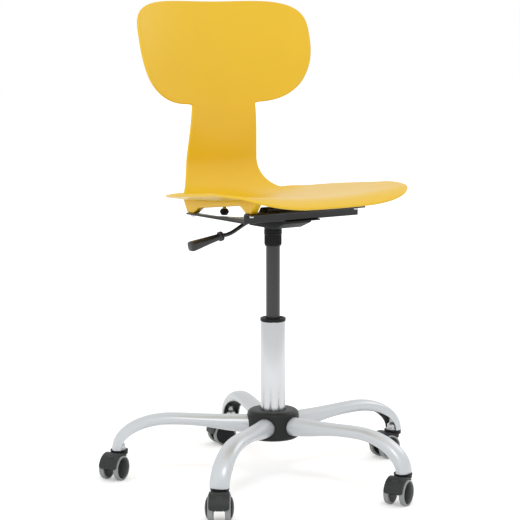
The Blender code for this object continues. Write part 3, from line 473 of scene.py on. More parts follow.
cover_low, cover_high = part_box("hub_cover")
at_column = Matrix.Translation(column)
cover_radius = 0.052
cover_bore = 0.0256
cover_inner = 0.0333
cap_under = cover_high.z - 0.006
arm_hole, hole_start, hole_end = 0.0202, 0.016, 0.075
cover_profile = filleted(
    (cover_bore, cover_high.z, 0.0012),
    (cover_radius, cover_high.z, 0.0150),
    (cover_radius, cover_low.z, 0.0075),
    (cover_inner, cover_low.z, 0.0008),
    (cover_inner, cap_under, 0.0),
    (cover_bore, cap_under, 0.0),
    steps=10,
)
black_plastic = grained(
    "black_plastic", (0.013, 0.014, 0.014), roughness=0.44, grain_scale=3200.0, bump=0.22, specular=0.24
)
hub_cover = mesh_piece("hub_cover_cap", placed(turned(cover_profile, 160), at_column), black_plastic)


def work(piece, welds, cuts, smooth=40.0):
    """Welds closed shapes on to a piece, and then cuts others out of it."""
    tools = []
    for operation, shapes in (("UNION", welds), ("DIFFERENCE", cuts)):
        for shape in shapes:
            step = piece.modifiers.new("Work", "BOOLEAN")
            step.operation = operation
            step.object = mesh_piece("tool", shape, piece.data.materials[0])
            tools.append(step.object)
    settle(piece)
    for tool in tools:
        bpy.data.objects.remove(tool)
    clean(piece.data, smooth)


hole_profile = [(0.0, hole_start), (arm_hole, hole_start), (arm_hole, hole_end), (0.0, hole_end)]
hole_bar = turned(hole_profile, 64, closed=False)
arm_holes = []
for number in range(arm_count):
    lie = Matrix.Translation(column + Vector((0.0, 0.0, arm_hub_z)))
    lie = lie @ Matrix.Rotation(2 * math.pi * number / arm_count, 4, "Z")
    lie = lie @ Matrix.Rotation(math.pi / 2, 4, "Y")
    arm_holes.append(placed(hole_bar, lie))
work(hub_cover, [], arm_holes)
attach(hub_cover, "base")
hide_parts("hub_cover")


# Column tube: the lift's outer tube, chromed steel, pressed into the hub. The pressing leaves short upright
# creases round its foot, each of its own height, that die out above the cover.

tube_radius = 0.025
tube_inside = 0.023
crease_count = 9
crease_turn = math.radians(22.6)
crease_depth = 0.0030
crease_heights = (0.032, 0.036, 0.030, 0.034, 0.038, 0.031, 0.035, 0.033, 0.037)
crease_tip, crease_widening = 0.0006, 0.0010
crease_foot = cover_high.z
crease_below, crease_span, crease_rows = 0.004, 0.045, 24
tube_steps = 360


def tube_ring(radius, height, creased):
    ring = []
    for i in range(tube_steps):
        angle = 2 * math.pi * i / tube_steps
        depth = 0.0
        if creased:
            nearest = round((angle - crease_turn) / (2 * math.pi) * crease_count)
            off = (angle - crease_turn - 2 * math.pi * nearest / crease_count) * tube_radius
            fade = max(0.0, 1.0 - (height - crease_foot) / crease_heights[nearest % crease_count])
            width = crease_tip + crease_widening * fade
            depth = crease_depth * min(1.0, fade) * math.exp(-((off / width) ** 2))
        ring.append(((radius - depth) * math.cos(angle), (radius - depth) * math.sin(angle), height))
    return ring


tube_rings = [tube_ring(tube_inside, tube_low.z, False), tube_ring(tube_radius, tube_low.z, False)]
for step in range(crease_rows + 1):
    crease_z = crease_foot - crease_below + crease_span * step / crease_rows
    tube_rings.append(tube_ring(tube_radius, crease_z, True))
for inset, below in ((0.0, 0.0010), (0.0003, 0.0003), (0.0010, 0.0)):
    tube_rings.append(tube_ring(tube_radius - inset, tube_high.z - below, False))
tube_rings.append(tube_ring(tube_inside, tube_high.z, False))
chrome = drawn_metal(
    "chrome",
    (0.585, 0.597, 0.612),
    metallic=1.0,
    roughness=0.24,
    roughness_spread=0.06,
    line_scale=420.0,
    bump=0.08,
)
tube_shape = placed(loft(tube_rings, closed=True), at_column)
column_tube = mesh_piece("column_tube_chromed", tube_shape, chrome, smooth=60.0)
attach(column_tube, "base")
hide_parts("column_tube")


# Guide bush: a black acetal sleeve that closes the tube's mouth and guides the cylinder. Its lip stands on
# the tube, with a rounded rim and a dished top round the bore.

bush_low, bush_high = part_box("guide_bush")
lip_radius, lip_bottom = 0.0255, tube_high.z + 0.0003
sleeve_radius, guide_bore = 0.0227, 0.0143
dish_radius, dish_foot, dish_floor = 0.0222, 0.0188, bush_high.z - 0.0034
guide_profile = filleted(
    (dish_radius, bush_high.z, 0.0012),
    (lip_radius, bush_high.z, 0.0018),
    (lip_radius, lip_bottom, 0.0006),
    (sleeve_radius, lip_bottom, 0.0),
    (sleeve_radius, bush_low.z, 0.001),
    (guide_bore, bush_low.z, 0.001),
    (guide_bore, dish_floor, 0.0006),
    (dish_foot, dish_floor, 0.0020),
    steps=5,
)
deep_black = grained(
    "deep_black", (0.008, 0.008, 0.008), roughness=0.46, grain_scale=3200.0, bump=0.15, specular=0.20
)
guide_bush = mesh_piece("guide_bush_sleeve", placed(turned(guide_profile, 96), at_column), deep_black)
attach(guide_bush, "base")
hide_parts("guide_bush")


# Gas cylinder: the part of the lift that slides, a drawn steel tube with baked black paint. Its upper end is
# held in the mechanism's socket, with the valve pin in its top.

cylinder_low, cylinder_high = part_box("gas_cylinder")
cylinder_radius = 0.014
rod_bore, rod_end = 0.0053, cylinder_low.z + 0.175
valve_bore, valve_seat = 0.0038, cylinder_high.z - 0.012
cylinder_profile = filleted(
    (valve_bore, cylinder_high.z, 0.0),
    (cylinder_radius, cylinder_high.z, 0.0012),
    (cylinder_radius, cylinder_low.z, 0.0015),
    (rod_bore, cylinder_low.z, 0.0),
    (rod_bore, rod_end, 0.0),
    (0.0, rod_end, 0.0),
    (0.0, valve_seat, 0.0),
    (valve_bore, valve_seat, 0.0),
)
cylinder_paint = drawn_metal(
    "cylinder_paint",
    (0.027, 0.027, 0.027),
    metallic=0.0,
    roughness=0.30,
    roughness_spread=0.10,
    line_scale=600.0,
    bump=0.06,
)
cylinder_shape = placed(turned(cylinder_profile, 96), at_column)
gas_cylinder = mesh_piece("gas_cylinder_tube", cylinder_shape, cylinder_paint)
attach(gas_cylinder, "seat")
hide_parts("gas_cylinder")


# Column collar: a black moulded sleeve under the socket. Fine upright ribs run all round it between a plain
# lower rim and the flange that meets the socket.

collar_low, collar_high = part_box("column_collar")
collar_radius, collar_bore = 0.0165, 0.0143
collar_flange, flange_under = 0.0178, collar_high.z - 0.004
rib_count, rib_radius, rib_sunk = 44, 0.0008, 0.0001
rib_top, rib_bottom = flange_under - 0.0015, collar_low.z + 0.003
collar_profile = filleted(
    (collar_flange, collar_high.z, 0.0008),
    (collar_flange, flange_under, 0.0008),
    (collar_radius, flange_under - 0.001, 0.0005),
    (collar_radius, collar_low.z, 0.0012),
    (collar_bore, collar_low.z, 0.0006),
    (collar_bore, collar_high.z, 0.0),
)


def collar_ribs():
    """Nodes that stand thin round ribs on a circle and join them to the sleeve."""
    takes = {"Sleeve": "Geometry", "Rib Count": "Int"}
    takes.update(dict.fromkeys(("Circle Radius", "Rib Radius", "Rib Height"), "Float"))
    takes.update({"Middle": "Vector", "Finish": "Material"})
    tree = node_tree("collar_ribs", "GeometryNodeTree", takes, {"Collar": "Geometry"})
    given = wired(tree, "NodeGroupInput")
    ring = {"Vertices": given["Rib Count"], "Radius": given["Circle Radius"]}
    circle = wired(tree, "GeometryNodeMeshCircle", ring)["Mesh"]
    upright = {"Vertices": 10, "Radius": given["Rib Radius"], "Depth": given["Rib Height"]}
    rib = wired(tree, "GeometryNodeMeshCylinder", upright)["Mesh"]
    ribs = {"Geometry": copies(tree, {"Points": circle, "Instance": rib}), "Translation": given["Middle"]}
    raised = wired(tree, "GeometryNodeTransform", ribs)["Geometry"]
    both = wired(tree, "GeometryNodeJoinGeometry", {"Geometry": [raised, given["Sleeve"]]})["Geometry"]
    wired(tree, "NodeGroupOutput", {"Collar": painted(tree, both, given["Finish"])})
    return tree


column_collar = mesh_piece("column_collar_ribbed", placed(turned(collar_profile, 96), at_column), deep_black)
rib_values = {
    "Rib Count": rib_count,
    "Circle Radius": collar_radius - rib_sunk,
    "Rib Radius": rib_radius,
    "Rib Height": rib_top - rib_bottom,
    "Middle": (column.x, column.y, (rib_top + rib_bottom) / 2),
    "Finish": deep_black,
}
grow(column_collar, collar_ribs(), rib_values)
shade(column_collar.data, 50.0)
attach(column_collar, "seat")
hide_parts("column_collar")


# Mechanism housing: a pan pressed from steel and coated black, open at the top, with its rim bolted up
# against the seat plate. A welded socket takes the lift's upper end, and the lever comes out through a slot
# in the right side.

pan_low, pan_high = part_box("mechanism_housing")
pan_half = 0.034
pan_wall = 0.003
pan_front, pan_rear = -0.083, 0.040
pan_bottom = pan_high.z - 0.0213
pan_floor = pan_bottom + pan_wall
pan_inside = pan_half - pan_wall
slope_length = 0.034
slope_top = pan_high.z - 0.0081
rear_chamfer = 0.006
rim_half, rim_front, rim_rear, rim_round, rim_thickness = 0.040, -0.106, 0.042, 0.006, 0.0024
socket_top, socket_flange, taper_radius = pan_floor - 0.0012, 0.0178, 0.0143
lever_z = pan_floor + 0.0105
slot_half, slot_out, slot_in = 0.005, -0.060, -pan_inside + 0.002
past_rim = pan_high.z + 0.004
past_socket = pan_low.z - 0.01


def inset_ring(outline, inset):
    """The closed outline moved inwards by a distance, for one that runs anticlockwise."""
    ring = []
    for i, point in enumerate(outline):
        here = Vector(point)
        back = (here - Vector(outline[i - 1])).normalized()
        ahead = (Vector(outline[(i + 1) % len(outline)]) - here).normalized()
        along = (back + ahead).normalized()
        share = max(0.5, along.dot(ahead))
        ring.append(here + Vector((-along.y, along.x)) * inset / share)
    return ring


def slab(outline, low, high, edge, steps=3):
    """A flat outline of (across, up) points made solid along Z, with rounded edges at both ends."""
    area = sum(outline[i - 1][0] * p[1] - p[0] * outline[i - 1][1] for i, p in enumerate(outline))
    if area < 0.0:
        outline = outline[::-1]
    levels = []
    for k in range(steps + 1):
        angle = math.pi / 2 * k / steps
        levels.append((low + edge * (1 - math.sin(angle)), edge * (1 - math.cos(angle))))
    levels = levels[::-1]
    levels += [(low + high - height, inset) for height, inset in levels[::-1]]
    return loft([[(p.x, p.y, height) for p in inset_ring(outline, inset)] for height, inset in levels])


# A slab's (across, up, along) becomes (along, across, up), for an outline of the chair's side.
side_on = Matrix(((0, 0, 1, 0), (1, 0, 0, 0), (0, 1, 0, 0), (0, 0, 0, 1)))


def pan_outline(inset, floor, top, fillet):
    return filleted(
        (pan_front + inset, top, 0.0),
        (pan_front + inset, slope_top, fillet),
        (pan_front + inset + slope_length, floor, fillet * 2),
        (pan_rear - inset - rear_chamfer, floor, fillet),
        (pan_rear - inset, floor + rear_chamfer, fillet),
        (pan_rear - inset, top, 0.0),
    )


pan = slab(pan_outline(0.0, pan_bottom, pan_high.z, 0.004), -pan_half, pan_half, 0.0022)
rim_corners = ((-rim_half, rim_front), (rim_half, rim_front), (rim_half, rim_rear), (-rim_half, rim_rear))
rim_outline = filleted(*[(x, y, rim_round) for x, y in rim_corners])
rim = slab(rim_outline, pan_high.z - rim_thickness, pan_high.z, 0.0006)
socket_profile = filleted(
    (0.0, socket_top, 0.0),
    (0.0185, socket_top, 0.0),
    (0.0172, pan_low.z + 0.0055, 0.002),
    (socket_flange, pan_low.z + 0.0040, 0.001),
    (socket_flange, pan_low.z, 0.0008),
    (0.0, pan_low.z, 0.0),
)
socket = turned(socket_profile, 80, closed=False)
hollow = slab(pan_outline(pan_wall, pan_floor, past_rim, 0.002), -pan_inside, pan_inside, 0.001)
taper_ends = ((0.0, past_socket), (taper_radius, past_socket), (taper_radius, pan_high.z), (0.0, pan_high.z))
taper_hole = turned(taper_ends, 80, closed=False)
slot_outline = [
    (-slot_half, lever_z - slot_half),
    (slot_half, lever_z - slot_half),
    (slot_half, past_rim),
    (-slot_half, past_rim),
]
lever_slot = slab(slot_outline, slot_out, slot_in, 0.0002)
black_paint = grained(
    "black_paint", (0.016, 0.017, 0.018), roughness=0.50, grain_scale=2200.0, bump=0.14, specular=0.10
)
housing = mesh_piece("mechanism_pan", placed(pan, at_column @ side_on), black_paint)
pan_cuts = ((hollow, at_column @ side_on), (taper_hole, at_column), (lever_slot, at_column @ side_on))
pan_welds = [placed(shape, at_column) for shape in (rim, socket)]
work(housing, pan_welds, [placed(shape, place) for shape, place in pan_cuts])
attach(housing, "seat")
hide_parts("mechanism_housing")


# Seat plate: one pressing of black coated sheet. Its front edge turns up and out again as a flange under the
# shell's front feet. Two notches leave a tongue over the housing and an arm with a low upstand at each side,
# and a welded bar lies across it behind the front edge.

plate_low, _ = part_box("seat_plate")
sheet = 0.003
plate_top = plate_low.z + sheet
plate_half = 0.1365
plate_front, plate_rear = -0.0985, 0.109
flange_reach = 0.024
flange_top = plate_top + 0.0135 + sheet
edge_half = plate_half - 0.0002
side_rise, side_sunk, side_short = 0.0065, 0.001, 0.012
side_high = plate_half - 0.0003
arm_inner = plate_half - 0.0225
tongue_half, tongue_rear = 0.042, 0.041
notch_front, gusset, gusset_length = -0.012, 0.024, 0.042
bar_foot, bar_foot_half, bar_top_half = plate_top - 0.001, 0.085, 0.073
bar_front, bar_rear, bar_top = -0.085, -0.060, plate_top + 0.0222

right_half = [
    (plate_half, plate_front, 0.004),
    (plate_half, plate_rear, 0.006),
    (arm_inner, plate_rear, 0.006),
    (arm_inner, notch_front + gusset_length, 0.010),
    (arm_inner - gusset, notch_front, 0.010),
    (tongue_half, notch_front, 0.006),
    (tongue_half, tongue_rear, 0.008),
]
floor_outline = filleted(*right_half, *[(-x, y, radius) for x, y, radius in reversed(right_half)])
plate_floor = slab(floor_outline, plate_low.z, plate_top, 0.0012)
front_outline = filleted(
    (plate_front, plate_low.z, 0.0028),
    (plate_front + sheet, plate_low.z, 0.0),
    (plate_front + sheet, flange_top, 0.0028),
    (plate_front - flange_reach, flange_top, 0.0010),
    (plate_front - flange_reach, flange_top - sheet, 0.0010),
    (plate_front, flange_top - sheet, 0.0014),
    steps=5,
)
plate_front_edge = placed(slab(front_outline, -edge_half, edge_half, 0.0010), side_on)
side_outline = [
    (plate_rear - side_short, plate_low.z + side_sunk),
    (plate_front + side_sunk, plate_low.z + side_sunk),
    (plate_front + side_sunk, plate_top + side_rise),
    (plate_rear - side_short, plate_top + 0.0003),
]
side_spans = ((side_high - sheet, side_high), (-side_high, sheet - side_high))
plate_sides = [placed(slab(side_outline, low, high, 0.0008), side_on) for low, high in side_spans]
bar_outline = filleted(
    (-bar_foot_half, bar_foot, 0.0),
    (bar_foot_half, bar_foot, 0.0),
    (bar_top_half, bar_top, 0.004),
    (-bar_top_half, bar_top, 0.004),
)
# A slab's (across, up, along) becomes (across, along, up), for an outline of the chair's front.
front_on = Matrix(((1, 0, 0, 0), (0, 0, 1, 0), (0, 1, 0, 0), (0, 0, 0, 1)))
cross_bar = placed(slab(bar_outline, bar_front, bar_rear, 0.0025), front_on)
plate_paint = grained(
    "plate_paint",
    (0.012, 0.013, 0.013),
    roughness=0.24,
    grain_scale=1500.0,
    bump=0.05,
    spreads=(0.10, 0.06),
    specular=0.36,
)
seat_plate = mesh_piece("seat_plate_pressing", placed(plate_floor, at_column), plate_paint)
work(seat_plate, [placed(shape, at_column) for shape in (plate_front_edge, *plate_sides, cross_bar)], [])
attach(seat_plate, "seat")
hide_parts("seat_plate")


# Seat buffers: two soft black rubber pads, pushed on to bosses under the shell, which it rests on when the
# chair is put up on a table. Each is moulded with a bevel above and below.

buffer_radius, buffer_top_radius, buffer_foot_radius = 0.0089, 0.0062, 0.0058
belt_top, belt_bottom = 0.64, 0.44
buffer_rubber = grained(
    "buffer_rubber", (0.010, 0.010, 0.010), roughness=0.62, grain_scale=1800.0, bump=0.30, specular=0.34
)
buffer_tops = []
for side in ("right", "left"):
    buffer_low, buffer_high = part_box(f"seat_buffer_{side}")
    buffer_tall = buffer_high.z - buffer_low.z
    buffer_profile = filleted(
        (0.0, buffer_tall, 0.0),
        (buffer_top_radius, buffer_tall, 0.0010),
        (buffer_radius, buffer_tall * belt_top, 0.0016),
        (buffer_radius, buffer_tall * belt_bottom, 0.0016),
        (buffer_foot_radius, 0.0, 0.0014),
        (0.0, 0.0, 0.0),
    )
    buffer_place = (buffer_low + buffer_high) / 2
    buffer_place.z = buffer_low.z
    buffer_tops.append(Vector((buffer_place.x, buffer_place.y, buffer_high.z)) - column)
    pad = placed(turned(buffer_profile, 48, closed=False), Matrix.Translation(buffer_place))
    stop = mesh_piece(f"buffer_{side}", pad, buffer_rubber)
    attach(stop, "seat")
    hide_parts(f"seat_buffer_{side}")


# Seat shell: seat, narrow neck and wide back in one injection moulding of yellow polypropylene, with a full
# round edge. A rail with two feet is moulded under each side, and screws from below hold the feet.

shell_sheet = 0.0055
shell_front = -0.2211
shell_front_z = plate_top + 0.0321
lip_length, lip_angle = 0.0591, math.radians(36.9)
seat_length = 0.2713
seat_front_angle, seat_rear_angle = math.radians(-8.1), math.radians(-2.2)
bend_radius, neck_angle = 0.071, math.radians(95.5)
back_length, back_top_angle = 0.3208, math.radians(70.95)
neck_length = 0.1099
seat_half = 0.2114
front_round, front_power, first_row = 0.1351, 3.47, 0.0014
rear_round, rear_reach, rear_power = 0.2037, 0.0402, 2.44
root_half, neck_low_half, neck_high_half = 0.1198, 0.0862, 0.0767
back_half = 0.2067
low_round, low_power = 0.1292, 2.44
top_half, top_power = 0.0292, 3.22
front_dish, seat_dish, bend_dish, neck_dish = 0.46, 1.03, 0.0, 1.96
back_low_dish, back_top_dish, dish_blend = 1.775, 1.556, 0.06

bend_start = lip_length + seat_length
bend_end = bend_start + bend_radius * (neck_angle - seat_rear_angle)
neck_end = bend_end + neck_length
shell_end = bend_end + back_length
rear_end = bend_start + rear_reach
rear_start = rear_end - rear_round
back_widest = neck_end + low_round
shell_arcs = (
    (lip_length, lip_angle, seat_front_angle),
    (seat_length, seat_front_angle, seat_rear_angle),
    (bend_end - bend_start, seat_rear_angle, neck_angle),
    (back_length, neck_angle, back_top_angle),
)


def shell_station(distance):
    """Place (y, z) and heading of the shell's middle line, by distance from the seat's front edge."""
    y, z, heading = shell_front, shell_front_z, lip_angle
    for length, start, end in shell_arcs:
        run = min(distance, length)
        bend = (end - start) / length
        heading = start + bend * run
        y += (math.sin(heading) - math.sin(start)) / bend
        z -= (math.cos(heading) - math.cos(start)) / bend
        distance -= run
        if distance <= 0.0:
            break
    return y, z, heading


def superellipse(share, power):
    return max(0.0, 1.0 - (1.0 - share) ** power) ** (1.0 / power)


def shell_half_width(distance):
    if distance < front_round:
        return seat_half * superellipse(distance / front_round, front_power)
    if distance < rear_start:
        return seat_half
    if distance < rear_end:
        return between(root_half, seat_half, superellipse((rear_end - distance) / rear_round, rear_power))
    if distance < bend_end:
        share = (distance - rear_end) / (bend_end - rear_end)
        return between(root_half, neck_low_half, 1.0 - (1.0 - share) ** 2)
    if distance < neck_end:
        return between(neck_low_half, neck_high_half, (distance - bend_end) / neck_length)
    if distance < back_widest:
        return between(neck_high_half, back_half, superellipse((distance - neck_end) / low_round, low_power))
    share = (shell_end - distance) / (shell_end - back_widest)
    return between(top_half, back_half, superellipse(max(0.0, share), top_power))


dish_places = (
    (0.0, front_dish),
    (front_round, seat_dish),
    (bend_start, seat_dish),
    (bend_end, bend_dish),
    (neck_end, neck_dish),
    (neck_end + dish_blend, back_low_dish),
    (shell_end, back_top_dish),
)


def shell_dish(distance):
    """How strongly the shell curves up to its sides, eased from each place of the row to the next."""
    for (start, low), (end, high) in zip(dish_places, dish_places[1:]):
        if distance < end:
            break
    return between(low, high, eased(min(1.0, (distance - start) / (end - start))))


def shell_point(sideways, distance):
    y, z, heading = shell_station(distance)
    rise = shell_dish(distance) * sideways**2 / 2
    return Vector((sideways, y - rise * math.sin(heading), z + rise * math.cos(heading)))


def shell_normal(sideways, distance):
    step = 0.0004
    across = shell_point(sideways + step, distance) - shell_point(sideways - step, distance)
    along = shell_point(sideways, distance + step) - shell_point(sideways, distance - step)
    return across.cross(along).normalized()


def shell_side():
    """(distance, half width) points, evenly spaced along one side and drawn in by the edge's radius."""
    dense_count, spacing = 6000, 0.0045
    dense = []
    for i in range(dense_count + 1):
        share = (1.0 - math.cos(math.pi * i / dense_count)) / 2
        distance = between(first_row, shell_end, share)
        dense.append(Vector((distance, shell_half_width(distance))))
    even, left = [dense[0]], 0.0
    for start, end in zip(dense, dense[1:]):
        left += (end - start).length
        if left >= spacing:
            even.append(end)
            left = 0.0
    even[-1] = dense[-1]
    kept = []
    for i, point in enumerate(even):
        along = (even[min(i + 1, len(even) - 1)] - even[max(i - 1, 0)]).normalized()
        drawn = point + Vector((along.y, -along.x)) * shell_sheet / 2
        if not kept or drawn.x > kept[-1].x + 1e-6:
            kept.append(drawn)
    return kept


shell_columns = 52
edge_steps = 8
shell_rows = shell_side()
top_grid, normal_grid = [], []
for distance, half in shell_rows:
    across = [(2 * i / shell_columns - 1) * half for i in range(shell_columns + 1)]
    top_grid.append([shell_point(sideways, distance) for sideways in across])
    normal_grid.append([shell_normal(sideways, distance) for sideways in across])


def shell_layer(depth):
    """The grid of the shell's points at a depth under its upper face."""
    grid = []
    for tops, normals in zip(top_grid, normal_grid):
        grid.append([top - normal * depth for top, normal in zip(tops, normals)])
    return grid


middle_grid = shell_layer(shell_sheet / 2)
row_count, column_count = len(shell_rows), shell_columns + 1
shell_points = [point for grid in (top_grid, shell_layer(shell_sheet)) for row in grid for point in row]
under_first = row_count * column_count
shell_faces = []
for row in range(row_count - 1):
    for i in range(shell_columns):
        corner = row * column_count + i
        square = (corner, corner + 1, corner + column_count + 1, corner + column_count)
        shell_faces.append(square)
        shell_faces.append(tuple(under_first + v for v in square[::-1]))
border = [(0, i) for i in range(shell_columns)]
border += [(row, shell_columns) for row in range(row_count - 1)]
border += [(row_count - 1, i) for i in range(shell_columns, 0, -1)]
border += [(row, 0) for row in range(row_count - 1, 0, -1)]
edge_rows = []
for i, (row, side) in enumerate(border):
    back_row, back_side = border[i - 1]
    next_row, next_side = border[(i + 1) % len(border)]
    along = (middle_grid[next_row][next_side] - middle_grid[back_row][back_side]).normalized()
    normal = normal_grid[row][side]
    out = along.cross(normal).normalized()
    spots = [row * column_count + side]
    for k in range(1, edge_steps):
        angle = math.pi * k / edge_steps
        spots.append(len(shell_points))
        spoke = normal * math.cos(angle) + out * math.sin(angle)
        shell_points.append(middle_grid[row][side] + spoke * shell_sheet / 2)
    spots.append(under_first + row * column_count + side)
    edge_rows.append(spots)
for i, spots in enumerate(edge_rows):
    following = edge_rows[(i + 1) % len(edge_rows)]
    for k in range(edge_steps):
        shell_faces.append((spots[k], spots[k + 1], following[k + 1], following[k]))

clearance = 0.0003
rail_width = 0.016
rail_x = side_high - sheet - 0.0007 - rail_width / 2
rail_sunk, rail_steps = 0.6, 32
rail_rear_z, rail_front_z = plate_top + 0.0125, plate_top + 0.0295
foot_half, inner_flare, outer_flare = 0.0105, 0.020, 0.0235
front_half, front_flare = 0.0085, 0.0315
foot_front = plate_front - flange_reach / 4
foot_rear = plate_rear - 0.001 - foot_half
rail_top = []
for step in range(rail_steps + 1):
    distance = between(lip_length, rear_end, step / rail_steps)
    spot = shell_point(rail_x, distance) - shell_normal(rail_x, distance) * shell_sheet * rail_sunk
    if foot_front - front_half - front_flare < spot.y < foot_rear + foot_half + outer_flare:
        rail_top.append((spot.y, spot.z, 0.0))
rail_corners = rail_top + [
    (foot_rear + foot_half, plate_top + clearance, 0.0025),
    (foot_rear - foot_half, plate_top + clearance, 0.0025),
    (foot_rear - foot_half - inner_flare, rail_rear_z, 0.010),
    (foot_front + front_half + inner_flare, rail_front_z, 0.012),
    (foot_front + front_half, flange_top + clearance, 0.0030),
    (foot_front - front_half, flange_top + clearance, 0.0025),
]
rail = slab(filleted(*rail_corners, steps=6), -rail_width / 2, rail_width / 2, 0.0022)
rails = [placed(rail, Matrix.Translation((x, 0.0, 0.0)) @ side_on) for x in (-rail_x, rail_x)]
boss_root, boss_end = 0.0037, 0.0034
bosses = []
for spot in buffer_tops:
    above = [shell_point(spot.x, distance) for distance, _ in shell_rows]
    meets = min(above, key=lambda point: abs(point.y - spot.y)).z - shell_sheet / 2
    boss_profile = filleted(
        (0.0, meets, 0.0),
        (boss_root, meets, 0.0),
        (boss_end, spot.z + clearance, 0.0004),
        (0.0, spot.z + clearance, 0.0),
    )
    boss_place = Matrix.Translation((spot.x, spot.y, 0.0))
    bosses.append(placed(turned(boss_profile, 40, closed=False), boss_place))

yellow_plastic = grained(
    "yellow_plastic",
    (0.76, 0.474, 0.010),
    roughness=0.34,
    grain_scale=3600.0,
    bump=0.16,
    spreads=(0.05, 0.10),
)
seat_shell = mesh_piece("seat_shell_moulding", placed((shell_points, shell_faces), at_column), yellow_plastic)
work(seat_shell, [placed(shape, at_column) for shape in rails + bosses], [], smooth=48.0)
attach(seat_shell, "seat")
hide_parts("seat_shell")


# Seat screws: four zinc plated screws with low domed heads, driven up through the plate and its flange into
# the shell's feet.

screw_numbers = range(1, 5)
screw_spots = []
for number in screw_numbers:
    screw_low, screw_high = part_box(f"seat_screw_{number}")
    screw_spots.append(((screw_low.x + screw_high.x) / 2, (screw_low.y + screw_high.y) / 2, screw_low.z))


def screw_set():
    """Nodes that put a shank and a domed head at every point."""
    takes = {"Spots": "Geometry"}
    takes.update(dict.fromkeys(("Shank Radius", "Head Radius", "Head Height", "Length"), "Float"))
    takes["Finish"] = "Material"
    tree = node_tree("screw_set", "GeometryNodeTree", takes, {"Screws": "Geometry"})
    given = wired(tree, "NodeGroupInput")
    shank = {"Vertices": 20, "Radius": given["Shank Radius"], "Depth": given["Length"]}
    lift = wired(tree, "ShaderNodeCombineXYZ", {"Z": calculated(tree, "MULTIPLY", given["Length"], 0.5)})
    rod = wired(tree, "GeometryNodeMeshCylinder", shank)["Mesh"]
    upright = {"Geometry": rod, "Translation": lift["Vector"]}
    raised = wired(tree, "GeometryNodeTransform", upright)["Geometry"]
    dome = {
        "Vertices": 28,
        "Side Segments": 3,
        "Radius Top": given["Head Radius"],
        "Radius Bottom": calculated(tree, "MULTIPLY", given["Head Radius"], 0.72),
        "Depth": given["Head Height"],
    }
    head = wired(tree, "GeometryNodeMeshCone", dome)["Mesh"]
    both = wired(tree, "GeometryNodeJoinGeometry", {"Geometry": [raised, head]})["Geometry"]
    screws = copies(tree, {"Points": given["Spots"], "Instance": both})
    wired(tree, "NodeGroupOutput", {"Screws": painted(tree, screws, given["Finish"])})
    return tree


seat_screws = mesh_piece("seat_screws", (screw_spots, []), zinc_steel)
screw_values = {
    "Shank Radius": 0.003,
    "Head Radius": 0.0055,
    "Head Height": 0.004,
    "Length": screw_high.z - screw_low.z,
    "Finish": zinc_steel,
}
grow(seat_screws, screw_set(), screw_values)
shade(seat_screws.data, 40.0)
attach(seat_screws, "seat")
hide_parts(*[f"seat_screw_{number}" for number in screw_numbers])


# Release lever: a bent black steel rod that leaves the housing at the sitter's right, with a plastic handle
# pushed on its end. The handle has a finned collar, then flares to a flat rounded end.

lever_straight, lever_drop, lever_run = 0.046, 0.0241, 0.0715
lever_slope = math.radians(12.3)
lever_radius, rod_hole_radius = 0.004, 0.0043
lever_steps = 24
handle_length = 0.080
grip_on_rod = 0.030
square_from, square_over, square_slim = 0.030, 0.040, 0.06


def lever_point(distance):
    """A point of the lever's line in the plane of the column: along the bend first, then along the handle."""
    if distance <= lever_run:
        share = max(0.0, distance / lever_run)
        drop = lever_drop * (1.0 - math.cos(share * math.pi)) / 2
        return Vector((-lever_straight - distance, 0.0, lever_z - drop))
    past = distance - lever_run
    end_x, end_z = -lever_straight - lever_run, lever_z - lever_drop
    return Vector((end_x - past * math.cos(lever_slope), 0.0, end_z - past * math.sin(lever_slope)))


def bar(stations, steps):
    """A bar through (distance, radius, square) stations of the lever's line, round where square is 0."""
    near = 0.001
    rings = []
    for distance, radius, square in stations:
        here = lever_point(distance)
        along = (lever_point(distance + near) - lever_point(distance - near)).normalized()
        up = Vector((0.0, 1.0, 0.0)).cross(along)
        ring = []
        for i in range(steps):
            angle = 2 * math.pi * i / steps
            across, rise = math.cos(angle), math.sin(angle)
            squared = 1.0 / (across**4 + rise**4) ** 0.25
            reach = radius * (1.0 + square * (squared - 1.0))
            ring.append(here + Vector((0.0, reach * across, 0.0)) + up * reach * rise)
        rings.append(ring)
    return loft(rings)


rod_stations = [
    (-lever_straight - 0.001, lever_radius - 0.0006, 0.0),
    (-lever_straight - 0.0002, lever_radius, 0.0),
]
rod_stations += [(lever_run * i / lever_steps, lever_radius, 0.0) for i in range(lever_steps + 1)]
rod_stations += [(lever_run + grip_on_rod, lever_radius, 0.0)]
lever_paint = grained("lever_paint", (0.016, 0.016, 0.017), roughness=0.36, grain_scale=1800.0, bump=0.10)
lever_rod = mesh_piece("lever_rod_bent", placed(bar(rod_stations, 28), at_column), lever_paint)
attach(lever_rod, "lever")
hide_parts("lever_rod")

